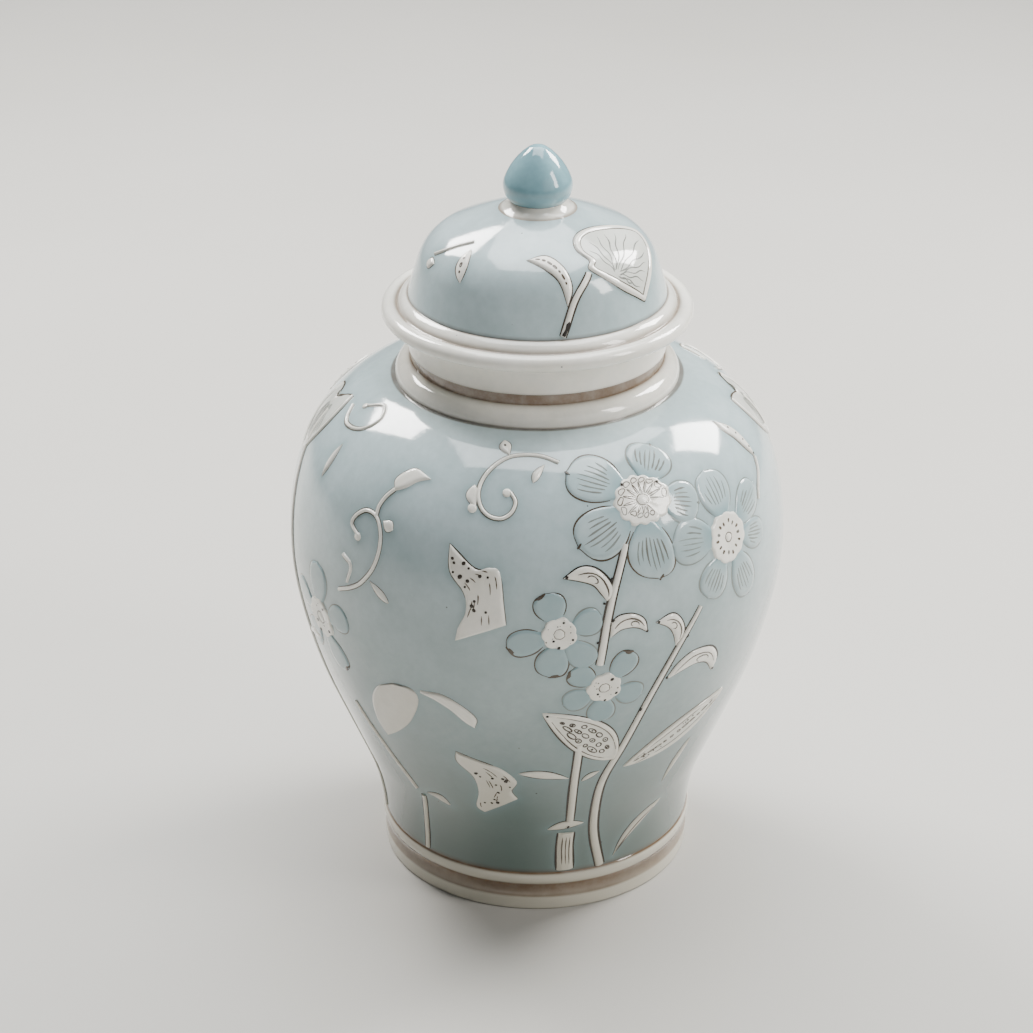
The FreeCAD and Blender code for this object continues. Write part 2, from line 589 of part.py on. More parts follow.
def relief(wall, sprigs):
    """Each sprig as solids on the wall. An earlier sprig lies over a later one."""
    layer = relief_layer(wall)
    pieces = {}
    laid = []
    for node, blocks in sprigs.items():
        shape = None
        for block in blocks(wall):
            raised = layer.common(block)
            shape = raised if shape is None else shape.fuse(raised)
        for other in laid:
            if shape.BoundBox.intersect(other.BoundBox):
                shape = shape.cut(other)
        laid.append(shape)
        pieces[node] = shape
    return pieces


def main():
    os.makedirs("parts", exist_ok=True)
    wall, shoulder = walk((FOOT_RADIUS, FOOT_HEIGHT), BODY_HEADING, BODY_STEPS)
    dome, crown = walk(DOME_BASE, DOME_HEADING, DOME_STEPS)
    print(f"shoulder ends at radius {shoulder[0]:.2f}, height {shoulder[1]:.2f}")
    print(f"crown at radius {crown[0]:.2f}, height {crown[1]:.2f}")
    save("foot_ring", foot_ring())
    lower, upper = jar_body(wall, shoulder)
    save("lower_body", lower)
    save("upper_body", upper)
    save("neck_collar", neck_collar(shoulder[1]))
    save("lid_flange", lid_flange())
    save("locating_ring", locating_ring())
    save("lid_dome", lid_dome(dome, crown))
    save("finial_collar", finial_collar(crown))
    save("finial_bud", finial_bud())
    for node, shape in relief(wall, JAR_SPRIGS).items():
        save(f"{node}_front", shape)
        back = shape.copy()
        back.rotate(ORIGIN, Z_AXIS, HALF_TURN)
        save(f"{node}_back", back)
    for node, shape in relief(dome, LID_SPRIGS).items():
        save(node, shape)


main()
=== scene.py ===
"""A lidded ginger jar in glazed porcelain: turned shells, raised sprigs laid on by hand, and brush lines.

Sizes are in millimetres until a piece is finished, and metres after that.
"""
import math
import random

import bmesh
import bpy
from mathutils import Matrix, Vector
from mathutils.kdtree import KDTree


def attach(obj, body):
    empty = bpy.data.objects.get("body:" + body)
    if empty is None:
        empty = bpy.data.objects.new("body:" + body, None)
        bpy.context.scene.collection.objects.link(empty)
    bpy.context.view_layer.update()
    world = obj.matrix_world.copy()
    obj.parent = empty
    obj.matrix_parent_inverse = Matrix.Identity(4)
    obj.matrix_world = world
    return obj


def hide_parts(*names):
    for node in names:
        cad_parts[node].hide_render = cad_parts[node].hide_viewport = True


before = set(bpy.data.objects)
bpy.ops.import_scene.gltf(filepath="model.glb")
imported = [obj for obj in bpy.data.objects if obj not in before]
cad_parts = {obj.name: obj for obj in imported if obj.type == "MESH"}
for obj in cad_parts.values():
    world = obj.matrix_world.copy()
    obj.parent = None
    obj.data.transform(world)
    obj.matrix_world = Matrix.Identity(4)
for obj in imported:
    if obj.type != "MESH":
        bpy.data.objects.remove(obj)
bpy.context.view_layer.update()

MM = 0.001
HALF_TURN = math.pi

# The turned profiles: chains of tangent lines and arcs. A heading is measured from +Z towards larger radius.
WALL = 5.5
FOOT_RADIUS = 63.9
FOOT_HEIGHT = 17.9
FOOT_INNER_RADIUS = 54.0
FOOT_GROOVE = (5.9, 12.5)
FOOT_GROOVE_DEPTH = 0.8
FOOT_BEAD_PROUD = 0.9
BASE_UNDERSIDE = 12.0
FLOOR_TOP = 19.5
FLOOR_FILLET = 8.0
BODY_HEADING = 5.7
BODY_STEPS = [
    ("line", 4.6, 0.0),
    ("arc", 86.5, 16.8),
    ("line", 35.8, 0.0),
    ("arc", 222.8, -12.8),
    ("arc", 105.0, -28.3),
    ("arc", 50.6, -58.4),
]
NECK_BORE_RADIUS = 44.5
NECK_RADIUS = 50.5
NECK_WAIST_RADIUS = 50.1
NECK_LIP_RADIUS = 50.9
NECK_BEAD_RADIUS = 55.1
NECK_BEAD_FOOT_RADIUS = 56.0
NECK_BEAD_TOP = 219.0
STRIPE_TOP = 223.7
STRIPE_DEPTH = 0.6
RIM_TOP = 236.3
RIM_EDGE = 0.9
ROLL_CENTRE = (57.85, 239.5)
ROLL_RADIUS = 3.2
FLANGE_GROOVE = (54.9, 241.9)
FLANGE_BEAD_CREST = (52.9, 244.6)
DOME_BASE = (50.6, 245.7)
RING_RADIUS = 42.0
RING_WALL = 4.0
RING_DEPTH = 10.5
RING_EDGE = 0.8
DOME_WALL = 5.0
DOME_HEADING = -14.4
DOME_STEPS = [("arc", 200.0, -4.2), ("arc", 20.1, -46.2), ("arc", 200.0, -6.4)]
COLLAR_TOP_RADIUS = 10.8
COLLAR_TOP = 283.2
COLLAR_HOLLOW = 0.41
BUD_HEADING = 47.8
BUD_STEPS = [("arc", 8.1, -68.7), ("arc", 26.0, -33.5), ("arc", 5.6, -35.6)]

# Raised work: full height of the clay, how far its underside is sunk, and how proud a brush line stands.
RELIEF = 0.72
SUNK = 0.5
LINE_PROUD = 0.05
LINE_CROWN = 0.05
# How far a line, and a touch of the brush's tip, lie above the clay that they are drawn on.
DRAWN = 0.03
TOUCHED = 0.04
# The raised rim of a heart leaf, and the weight of the line round it.
HEART_RIM = 1.8
HEART_LINE = 0.8

# Corners closer than this are one corner, and edges that turn more than this many degrees stay crisp.
SAME_PLACE = 0.004
CRISP_TURN = 52.0

# Pattern sizes in the fired surface, which every glaze shares: the fine mottle, the streaks in a rubbed wash,
# the spacing of iron flecks, the slow unevenness left by throwing, and the orange-peel skin.
MOTTLE_SIZE = 3.5
STREAK_SIZE = 9.0
FLECK_SPACING = 14.0
THROWING_SIZE = 42.0
SKIN_SIZE = 2.6
IRON_WASH = "#5B4632"
IRON_FLECK = "#3A332B"


# Camera and lights

def place_camera():
    data = bpy.data.cameras.new("camera")
    data.lens = 97.55
    data.sensor_width = 36.0
    data.clip_start = 0.05
    data.clip_end = 20.0
    camera = bpy.data.objects.new("camera", data)
    camera.location = (-0.00816, -1.01205, 0.65538)
    camera.rotation_euler = (math.radians(90.0 - 26.66), 0.0, 0.0)
    bpy.context.scene.collection.objects.link(camera)
    bpy.context.scene.camera = camera


def hang_light(name, direction, distance, width, height, watts, colour):
    """A soft panel light that faces the jar's middle."""
    data = bpy.data.lights.new(name, "AREA")
    data.shape = "RECTANGLE"
    data.size = width
    data.size_y = height
    data.energy = watts
    data.color = colour
    light = bpy.data.objects.new(name, data)
    way = Vector(direction).normalized()
    light.location = Vector((0.0, 0.0, 0.15)) + way * distance
    light.rotation_euler = way.to_track_quat("Z", "Y").to_euler()
    bpy.context.scene.collection.objects.link(light)


def light_the_set():
    hang_light("back_left_panel", (-0.47, 0.56, 0.68), 1.5, 0.55, 0.5, 32.0, (1.0, 0.98, 0.95))
    hang_light("back_right_panel", (0.67, 0.43, 0.60), 1.5, 0.5, 0.55, 36.0, (1.0, 0.98, 0.95))
    hang_light("side_right_panel", (0.80, -0.35, 0.49), 1.7, 0.35, 0.8, 14.0, (1.0, 0.97, 0.93))
    hang_light("overhead_panel", (0.05, 0.25, 1.0), 1.9, 1.6, 1.6, 56.0, (0.97, 0.99, 1.0))
    hang_light("front_fill", (0.8, -1.0, 0.5), 2.4, 1.6, 1.4, 6.0, (1.0, 1.0, 1.0))


# Profile arithmetic

def advance(step, share):
    """Radius, height and heading after a share of one step of a chain."""
    kind, radius, height, heading, size, sweep = step
    if kind == "line":
        run = size * share
        return radius + run * math.sin(heading), height + run * math.cos(heading), heading
    side = math.copysign(1.0, sweep)
    end = heading + sweep * share
    return (
        radius + side * size * (math.cos(heading) - math.cos(end)),
        height + side * size * (math.sin(end) - math.sin(heading)),
        end,
    )


def walk(start, heading, steps):
    radius, height, turn = start[0], start[1], math.radians(heading)
    chain = []
    for kind, size, sweep in steps:
        chain.append((kind, radius, height, turn, size, math.radians(sweep)))
        radius, height, turn = advance(chain[-1], 1.0)
    return chain


def offset(chain, distance):
    moved = []
    for kind, radius, height, heading, size, sweep in chain:
        if kind == "arc":
            size -= distance * math.copysign(1.0, sweep)
        moved.append((kind, radius + distance * math.cos(heading), height - distance * math.sin(heading),
                      heading, size, sweep))
    return moved


def wall_at(chain, height):
    """Radius and heading of a chain at a height."""
    for step in chain:
        kind, radius, start, heading, size, sweep = step
        if height > advance(step, 1.0)[1] and step is not chain[-1]:
            continue
        if kind == "line":
            return radius + (height - start) * math.tan(heading), heading
        side = math.copysign(1.0, sweep)
        rise = math.sin(heading) + side * (height - start) / size
        reached = math.asin(max(-1.0, min(1.0, rise)))
        return radius + side * size * (math.cos(heading) - math.cos(reached)), reached


def traced(chain, spacing):
    """(radius, height) points along a chain, no further apart than the spacing."""
    spots = []
    for step in chain:
        kind, _, _, _, size, sweep = step
        length = size if kind == "line" else size * abs(sweep)
        count = max(2, math.ceil(length / spacing))
        spots += [advance(step, index / count)[:2] for index in range(count)]
    return spots + [advance(chain[-1], 1.0)[:2]]


def bow(start, middle, end, count):
    """Points on the arc through three (radius, height) spots, without its start."""
    ax, ay = start
    bx, by = middle
    cx, cy = end
    a, b, c = (x ** 2 + y ** 2 for x, y in (start, middle, end))
    d = 2.0 * (ax * (by - cy) + bx * (cy - ay) + cx * (ay - by))
    ux = (a * (by - cy) + b * (cy - ay) + c * (ay - by)) / d
    uy = (a * (cx - bx) + b * (ax - cx) + c * (bx - ax)) / d
    first = math.atan2(ay - uy, ax - ux)
    via = (math.atan2(by - uy, bx - ux) - first) % math.tau
    last = (math.atan2(cy - uy, cx - ux) - first) % math.tau
    if via > last:
        last -= math.tau
    radius = math.hypot(ax - ux, ay - uy)
    turns = [first + last * i / count for i in range(1, count + 1)]
    return [(ux + radius * math.cos(turn), uy + radius * math.sin(turn)) for turn in turns]


def run(start, end, count):
    """Evenly spaced points on a straight run, without its start."""
    return [(start[0] + (end[0] - start[0]) * i / count, start[1] + (end[1] - start[1]) * i / count)
            for i in range(1, count + 1)]


# Finishing a piece

def fire(name, mesh_work, glaze, body, slot, stands_for, turn=0.0):
    """Closes a mesh, takes it to metres, glazes it and sets it on its body."""
    if turn:
        bmesh.ops.rotate(mesh_work, verts=mesh_work.verts, matrix=Matrix.Rotation(turn, 3, "Z"))
    bmesh.ops.remove_doubles(mesh_work, verts=mesh_work.verts, dist=SAME_PLACE)
    bmesh.ops.recalc_face_normals(mesh_work, faces=mesh_work.faces)
    bmesh.ops.scale(mesh_work, vec=(MM, MM, MM), verts=mesh_work.verts)
    mesh = bpy.data.meshes.new(name)
    mesh_work.to_mesh(mesh)
    mesh.materials.append(glaze)
    mesh.polygons.foreach_set("use_smooth", [True] * len(mesh.polygons))
    mesh.set_sharp_from_angle(angle=math.radians(CRISP_TURN))
    piece = bpy.data.objects.new(name, mesh)
    bpy.context.scene.collection.objects.link(piece)
    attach(piece, body)
    if stands_for:
        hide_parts(*stands_for)


def throw(outline, segments, wash, pooled):
    """A closed (radius, height) outline spun about the jar's axis, with its iron wash and pooled glaze."""
    work = bmesh.new()
    iron = work.verts.layers.float.new("iron")
    tint = work.verts.layers.float.new("tint")
    ring = [work.verts.new((radius, 0.0, height)) for radius, height in outline]
    edges = [work.edges.new(pair) for pair in zip(ring, ring[1:])]
    if outline[0][0] > 0.001:
        edges.append(work.edges.new((ring[-1], ring[0])))
    bmesh.ops.spin(work, geom=ring + edges, cent=(0, 0, 0), axis=(0, 0, 1), dvec=(0, 0, 0),
                   angle=math.tau, steps=segments, use_merge=True, use_duplicate=False)
    bmesh.ops.remove_doubles(work, verts=work.verts, dist=SAME_PLACE)
    for vert in work.verts:
        if wash:
            vert[iron] = wash(math.hypot(vert.co.x, vert.co.y), vert.co.z)
        if pooled:
            vert[tint] = pooled(vert.co)
    return work


def soft_step(value, low, high):
    share = max(0.0, min(1.0, (value - low) / (high - low)))
    return share * share * (3.0 - 2.0 * share)


def fading(value, start, end):
    """One up to the start, falling softly to nothing at the end."""
    return 1.0 - soft_step(value, start, end)


def band_wash(height, low, high, fade):
    """One inside a band of heights, fading out past its edges."""
    return soft_step(height, low - fade, low + fade) * fading(height, high - fade, high + fade)


# Raised work and brush lines

def seat(wall, angle, height):
    """The frame on the wall there: its place, to the right, up the wall, and straight out."""
    radius, heading = wall_at(wall, height)
    turn = math.radians(angle)
    cosine, sine = math.cos(turn), math.sin(turn)
    return (
        Vector((radius * cosine, radius * sine, height)),
        Vector((-sine, cosine, 0.0)),
        Vector((math.sin(heading) * cosine, math.sin(heading) * sine, math.cos(heading))),
        Vector((math.cos(heading) * cosine, math.cos(heading) * sine, -math.sin(heading))),
    )


def lay(wall, here, x, y, lift):
    """Where a flat place in the seat's frame lands on the wall, and the wall's normal there."""
    place, across, up, out = here
    start = place + across * x + up * y
    depth = 0.0
    for _ in range(5):
        spot = start + out * depth
        radius = math.hypot(spot.x, spot.y)
        target, heading = wall_at(wall, spot.z)
        slope = (spot.x * out.x + spot.y * out.y) / radius - math.tan(heading) * out.z
        depth -= (radius - target) / slope
    spot = start + out * depth
    heading = wall_at(wall, spot.z)[1]
    outward = Vector((spot.x, spot.y, 0.0)).normalized()
    normal = outward * math.cos(heading) - Vector((0.0, 0.0, math.sin(heading)))
    return spot + normal * lift, normal


def eased(places, per_span):
    """A smooth path through the places, as Catmull and Rom draw it."""
    spots = [Vector(place) for place in places]
    ends = [spots[0] * 2 - spots[1]] + spots + [spots[-1] * 2 - spots[-2]]
    path = []
    for a, b, c, d in zip(ends, ends[1:], ends[2:], ends[3:]):
        for index in range(per_span):
            t = index / per_span
            path.append(0.5 * ((2 * b) + (c - a) * t + (2 * a - 5 * b + 4 * c - d) * t ** 2
                               + (3 * b - a - 3 * c + d) * t ** 3))
    return path + [spots[-1]]


def petal_half(t, width):
    """Half width of a broad petal along its length, with a small point at its tip."""
    widest = 0.56
    if t < widest:
        body = 0.34 + 0.66 * math.sin(math.pi / 2 * t / widest)
    else:
        body = max(0.0, 1.0 - ((t - widest) / (0.955 - widest)) ** 2.3) ** (1 / 2.3) if t < 0.955 else 0.0
    point = 0.17 * (1.0 - t) / 0.12 if t > 0.8 else 0.0
    return width / 2 * max(body, min(point, 0.17))


def leaf_half(t, width, belly):
    """Half width of a pointed leaf along its length."""
    warped = t ** (math.log(0.5) / math.log(belly))
    return width / 2 * max(0.0, math.sin(math.pi * warped)) ** 0.8


def domed(edge):
    """The usual height of the clay, by how far in from its edge it is."""
    return RELIEF * math.sin(math.pi / 2 * min(1.0, edge / 1.3)) ** 0.8


class Sprig:
    """Clay laid on a wall and the brush lines over it. Ink runs from a soft grey at 0 to black at 1."""

    def __init__(self, wall, seed):
        self.wall = wall
        self.hand = random.Random(seed)
        self.clay = bmesh.new()
        self.brush = bmesh.new()
        self.tint = self.clay.verts.layers.float.new("tint")
        self.iron = self.clay.verts.layers.float.new("iron")
        self.ink = self.brush.verts.layers.float.new("ink")

    def slab(self, work, rows, columns, shape):
        """A closed pad. shape(u, v, top) gives each corner's place, its tint or ink, and its iron."""
        grid = bmesh.ops.create_grid(work, x_segments=rows, y_segments=columns, size=0.5)["verts"]
        faces = list(dict.fromkeys(face for vert in grid for face in vert.link_faces))
        risen = bmesh.ops.extrude_face_region(work, geom=faces, use_keep_orig=True)["geom"]
        top = [item for item in risen if isinstance(item, bmesh.types.BMVert)]
        for verts, is_top in ((grid, False), (top, True)):
            for vert in verts:
                place, tint, iron = shape(vert.co.x + 0.5, vert.co.y * 2.0, is_top)
                vert.co = place
                if work is self.clay:
                    vert[self.tint] = tint
                    vert[self.iron] = iron
                else:
                    vert[self.ink] = tint

    def pad(self, here, flat, rows, columns, profile, tint, turn, iron=0.0):
        """Clay of an outline. flat(u, v) gives x, y and how far in from the edge that is."""
        cosine, sine = math.cos(math.radians(turn)), math.sin(math.radians(turn))
        profile = profile or domed

        def on(u, v, above=DRAWN):
            x, y, edge = flat(u, v)
            return lay(self.wall, here, x * cosine - y * sine, x * sine + y * cosine,
                       profile(max(0.0, edge)) + above)

        def shape(u, v, top):
            u = (1.0 - math.cos(math.pi * u)) / 2.0
            v = math.sin(math.pi / 2 * v)
            x, y, edge = flat(u, v)
            if top:
                return on(u, v, 0.0)[0], tint(u, v, max(0.0, edge)) if tint else 0.0, iron
            return lay(self.wall, here, x * cosine - y * sine, x * sine + y * cosine, -SUNK)[0], 0.0, 0.0

        self.slab(self.clay, rows, columns, shape)
        return on

    def band(self, work, spots, width, crown, columns, sunk=SUNK, tint=0.0):
        """A strip along (place, normal) spots. width(s) is its whole width, crown its height."""
        last = len(spots) - 1
        frames = []
        for index, (place, normal) in enumerate(spots):
            ahead = spots[min(index + 1, last)][0] - spots[max(index - 1, 0)][0]
            across = normal.cross(ahead).normalized() if ahead.length > 1e-6 else Vector((1, 0, 0))
            frames.append((place, normal, across))

        def shape(u, v, top):
            index = min(last, max(0, round(u * last)))
            place, normal, across = frames[index]
            lift = crown * math.sqrt(max(0.0, 1.0 - v * v)) if top else -sunk
            return place + across * (v * width(index / last) / 2) + normal * lift, tint, 0.0

        self.slab(work, last, columns, shape)

    def spots(self, places, per_span, lift=0.0):
        """(place, normal) spots along a smooth path through (angle, height) places."""
        found = []
        for angle, height in eased(places, per_span):
            place, _, _, out = seat(self.wall, angle, height)
            found.append((place + out * lift, out))
        return found

    def stroke(self, spots, width, thin_start=0.3, thin_end=0.3, ink=0.6):
        """A brush line, thinner towards its ends, as wide as the hand presses."""
        wobble = self.hand.uniform(0.85, 1.15)
        ripple = self.hand.uniform(0.0, math.tau)

        def across(s):
            swell = min(1.0, thin_start + s * 4.0, thin_end + (1.0 - s) * 4.0)
            return width * swell * wobble * (1.0 + 0.18 * math.sin(9.0 * s + ripple))

        self.band(self.brush, spots, across, LINE_CROWN, columns=2, sunk=0.25, tint=ink)

    def dab(self, spot, size, ink=1.0):
        """A small round touch of the brush."""
        place, normal = spot
        side = normal.orthogonal().normalized()
        verts = bmesh.ops.create_icosphere(self.brush, subdivisions=1, radius=size / 2)["verts"]
        up = normal.cross(side)
        longer = self.hand.uniform(0.8, 1.3)
        for vert in verts:
            vert[self.ink] = ink
            vert.co = place + side * vert.co.x * longer + up * vert.co.y + normal * (vert.co.z * 0.25)

    def stem(self, places, width, end_width, edge_lines, per_span, ink=0.85):
        """A raised cord of clay with a line along each side."""
        spots = self.spots(places, per_span)
        last = len(spots) - 1

        def across(s):
            return width + (end_width - width) * s

        self.band(self.clay, spots, across, RELIEF, columns=6)
        for side, line in zip((1, -1), edge_lines):
            if line:
                beside = []
                for index, (place, normal) in enumerate(spots):
                    ahead = spots[min(index + 1, last)][0] - spots[max(index - 1, 0)][0]
                    sideways = normal.cross(ahead).normalized()
                    far = across(index / last) / 2 + line * 0.25
                    beside.append((place + sideways * side * far + normal * LINE_PROUD, normal))
                self.stroke(beside, line, 0.6, 0.5, ink)

    def round_edge(self, on, line, shares, grow=1.02, above=0.02, ink=0.8):
        """Line strokes round a pad's edge. shares are (side, from u, to u) stretches."""
        for side, start, end in shares:
            count = max(8, int(abs(end - start) * 26))
            spots = [on(start + (end - start) * i / count, side * grow, above) for i in range(count + 1)]
            self.stroke(spots, line * self.hand.uniform(0.85, 1.15), 0.35, 0.35, ink)

    def petal(self, centre, inner, petal, veins, outline_ink, vein_ink, lean, all_over=0.0):
        """A broad petal (direction, reach, width) standing out from a flower's centre, with its veins."""
        direction, reach, width = petal
        here = seat(self.wall, *centre)
        length = reach - inner

        def flat(u, v):
            half = petal_half(u, width)
            edge = min((1.0 - abs(v)) * half, (1.0 - u) * length * 0.8 + 0.02, u * length + 0.3)
            return inner + u * length, v * half + lean * width * u ** 3, edge

        def tint(u, v, edge):
            return max(all_over, 0.7 * fading(u, 0.05, 0.45))

        on = self.pad(here, flat, 22, 12, lambda edge: 0.62 * domed(edge), tint, direction)
        self.round_edge(on, 0.8, ((1, 0.15, 0.97), (-1, 0.15, 0.97)), ink=outline_ink)
        for index in range(veins):
            v = (index + 0.5) / veins * 1.6 - 0.8
            start = 0.24 + 0.1 * abs(v) + self.hand.uniform(0.0, 0.06)
            end = 0.86 - 0.26 * abs(v) + self.hand.uniform(-0.1, 0.04)
            vein = [on(start + (end - start) * i / 8, v * (0.8 + 0.18 * i / 8), LINE_PROUD * 0.6)
                    for i in range(9)]
            self.stroke(vein, 0.62, 0.5, 0.15, vein_ink + self.hand.uniform(0.0, 0.2))
        return on

    def leaf(self, base, tip, width, belly, bend, line=0.75, profile=None, tint=None, rows=20, columns=8,
             ink=0.85):
        """A pointed leaf between two (angle, height) places."""
        here = seat(self.wall, *base)
        reach = seat(self.wall, *tip)[0] - here[0]
        x, y = reach.dot(here[1]), reach.dot(here[2])
        length = math.hypot(x, y)

        def flat(u, v):
            half = leaf_half(u, width, belly)
            edge = min((1.0 - abs(v)) * half, (1.0 - u) * length + 0.02, u * length + 0.02)
            return u * length, v * half + bend * 3.0 * u * (1.0 - u), edge

        on = self.pad(here, flat, rows, columns, profile, tint, math.degrees(math.atan2(y, x)))
        if line:
            self.round_edge(on, line, ((1, 0.03, 0.97), (-1, 0.03, 0.97)), ink=ink)
        return on

    def sided(self, sides, profile=None, tint=None, rows=24, columns=10, iron=0.0):
        """Clay between two smooth lines of (angle, height) places, both drawn from its base to its tip."""
        here = seat(self.wall, *sides[0][len(sides[0]) // 2])
        rails = []
        for places in sides:
            reaches = [seat(self.wall, *place)[0] - here[0] for place in places]
            rails.append(eased([(reach.dot(here[1]), reach.dot(here[2]), 0.0) for reach in reaches], 8))
        length = (rails[0][-1] - rails[0][0]).length

        def along(rail, u):
            at = max(0.0, min(1.0, u)) * (len(rail) - 1)
            index = min(len(rail) - 2, int(at))
            return rail[index].lerp(rail[index + 1], at - index)

        def flat(u, v):
            first, second = along(rails[0], u), along(rails[1], u)
            spot = second + (first - second) * ((v + 1.0) / 2.0)
            half = (first - second).length / 2.0
            return spot.x, spot.y, min((1.0 - abs(v)) * half, (1.0 - u) * length + 0.02, u * length + 0.02)

        return self.pad(here, flat, rows, columns, profile, tint, 0.0, iron)

    def heart(self, centre, turn, length, width):
        """A heart leaf with a raised rim and fanning veins. Its notch is at the centre given."""
        here = seat(self.wall, *centre)

        def flat(u, v):
            belly = math.sin(math.pi * min(1.0, (0.24 + 0.76 * u) ** 0.9)) ** 0.75 if u < 1 else 0.0
            half = width / 2 * belly * 1.02
            x = length * u - 0.26 * length * (1.0 - u) ** 3 * (1.0 - (1.0 - abs(v)) ** 2)
            to_notch = u * length + 0.25 * abs(v) * length * (1 - u)
            return x, v * half, min((1.0 - abs(v)) * half, (1.0 - u) * length * 0.7, to_notch) + 0.02

        def profile(edge):
            high = RELIEF * math.sin(math.pi / 2 * min(1.0, edge / 0.7)) ** 0.8
            return high - RELIEF * 0.62 * soft_step(edge, HEART_RIM - 0.4, HEART_RIM + 0.5)

        def tint(u, v, edge):
            return 0.5 * soft_step(edge, HEART_RIM - 0.3, HEART_RIM + 0.5)

        on = self.pad(here, flat, 30, 30, profile, tint, turn)
        self.round_edge(on, HEART_LINE, ((1, 0.0, 0.97), (-1, 0.0, 0.97)), 1.02, 0.02)
        for side in (1, -1):
            spots = [on(0.002, side * i / 8) for i in range(9)]
            self.stroke(spots, HEART_LINE, 0.5, 0.5)
            inner_ring = []
            for i in range(20):
                u = 0.12 + 0.76 * i / 19
                half = max(0.1, abs(flat(u, 1.0)[1]))
                inner_ring.append(on(u, side * (1.0 - (HEART_RIM + 0.5) / half)))
            self.stroke(inner_ring, HEART_LINE * 0.8, 0.3, 0.3)
        for index in range(11):
            v = -0.72 + 1.44 * index / 10
            ripple = self.hand.uniform(0.0, math.tau)
            spots = []
            for i in range(13):
                s = i / 12
                u = 0.16 + (0.62 - 0.34 * v * v) * s
                spots.append(on(u, v * (0.25 + 0.75 * s) + 0.025 * math.sin(9.0 * s + ripple)))
            self.stroke(spots, 0.5, 0.4, 0.1, 0.3)

    def plate(self, centre, reach, high, tint, rings=18, steps=96):
        """A pad spun from its middle and stretched to an outline. reach(around) is how far out that lies."""
        here = seat(self.wall, *centre)
        old = set(self.clay.verts)
        verts = [self.clay.verts.new((index / rings, 0.0, 1.0)) for index in range(rings + 1)]
        verts += [self.clay.verts.new((0.98, 0.0, -1.0)), self.clay.verts.new((0.0, 0.0, -1.0))]
        edges = [self.clay.edges.new(pair) for pair in zip(verts, verts[1:])]
        bmesh.ops.spin(self.clay, geom=verts + edges, cent=(0, 0, 0), axis=(0, 0, 1), dvec=(0, 0, 0),
                       angle=math.tau, steps=steps, use_merge=True, use_duplicate=False)

        def on(share, around, above=DRAWN):
            far = share * reach(around)
            lift = high(share, around) + above
            return lay(self.wall, here, far * math.cos(around), far * math.sin(around), lift)

        for vert in self.clay.verts:
            if vert not in old:
                share, around = min(1.0, math.hypot(vert.co.x, vert.co.y)), math.atan2(vert.co.y, vert.co.x)
                top = vert.co.z > 0.0
                vert[self.tint] = tint(share, around) if top else 0.0
                vert.co = on(share, around, 0.0 if top else -SUNK - high(share, around))[0]
        return on

    def disc(self, centre, across, up, knob, scallops, depth):
        """A round flower centre, pressed on, with a small knob in its middle and a wavy edge."""
        knob_share = 1.15 * knob / across
        shift = self.hand.uniform(0.0, math.tau)

        def reach(around):
            wave = depth * (abs(math.sin(scallops * around / 2)) - 1.0) + 0.025 * math.sin(3 * around + shift)
            return (1.0 + wave) / math.hypot(math.cos(around) / across, math.sin(around) / up)

        def high(share, around):
            if share < knob_share:
                return RELIEF * (1.0 - 0.5 * (share / knob_share) ** 3)
            swell = math.sin(math.pi * 0.62 * (share - knob_share) / (1.0 - knob_share))
            rounded = math.sqrt(max(0.0, 1.0 - (max(0.0, share - 0.9) / 0.1) ** 2))
            return RELIEF * (0.5 + 0.42 * swell) * rounded

        return self.plate(centre, reach, high, lambda share, around: 0.35 * soft_step(share, 0.9, 1.0))

    def ring(self, on, share, line, count, ink):
        """A closed line round a plate at a share of its reach."""
        self.stroke([on(share, math.tau * i / count) for i in range(count + 1)], line, 1.0, 1.0, ink)

    def bulb(self, angle, height, size):
        """A small blob of clay, as at the end of a scroll."""
        self.plate((angle, height), lambda around: size / 2,
                   lambda share, around: RELIEF * math.sqrt(max(0.0, 1.0 - share ** 3)),
                   lambda share, around: 0.0, 5, 16)

    def cells(self, on, places, size, line, ink=0.7):
        """Small loops drawn on a pad, like bubbles. places are (u, v) on it."""
        for u, v in places:
            turn = self.hand.uniform(0.0, math.pi)
            wide = size * self.hand.uniform(0.8, 1.2)
            spots = []
            for i in range(13):
                a = math.tau * i / 12
                du = wide * math.cos(a)
                spots.append(on(u + du * math.cos(turn) * 0.3 + du * 0.7, v + wide * math.sin(a) * 2.2))
            self.stroke(spots, line, 1.0, 1.0, ink)


body_wall = walk((FOOT_RADIUS, FOOT_HEIGHT), BODY_HEADING, BODY_STEPS)
dome_wall = walk(DOME_BASE, DOME_HEADING, DOME_STEPS)
shoulder_end = advance(body_wall[-1], 1.0)
crown_end = advance(dome_wall[-1], 1.0)

# Flowers: the disc's centre, and each petal's direction, reach and width.
LARGE_FLOWER = (-63.4, 193.2)
LARGE_PETALS = [(60, 24.0, 18.0), (142, 30.5, 19.0), (206, 31.0, 19.0), (267, 30.0, 19.0), (347, 25.0, 16.0)]
SIDE_FLOWER = (-41.5, 170.7)
SIDE_PETALS = [(28, 28.0, 14.0), (92, 27.5, 17.0), (165, 28.5, 17.5), (234, 25.0, 15.0), (292, 30.5, 14.0),
               (345, 26.0, 12.0)]
UPPER_FLOWER = (-85.5, 148.0)
UPPER_PETALS = [(20, 17.5, 11.0), (107, 17.5, 12.0), (196, 21.0, 11.0), (258, 20.0, 12.5), (311, 19.7, 11.0)]
LOWER_FLOWER = (-75.0, 121.8)
LOWER_PETALS = [(54, 19.0, 10.5), (145, 17.0, 10.0), (205, 17.5, 10.5), (268, 18.0, 11.0), (335, 17.5, 10.5)]
LEFT_FLOWER = (-149.4, 128.5)
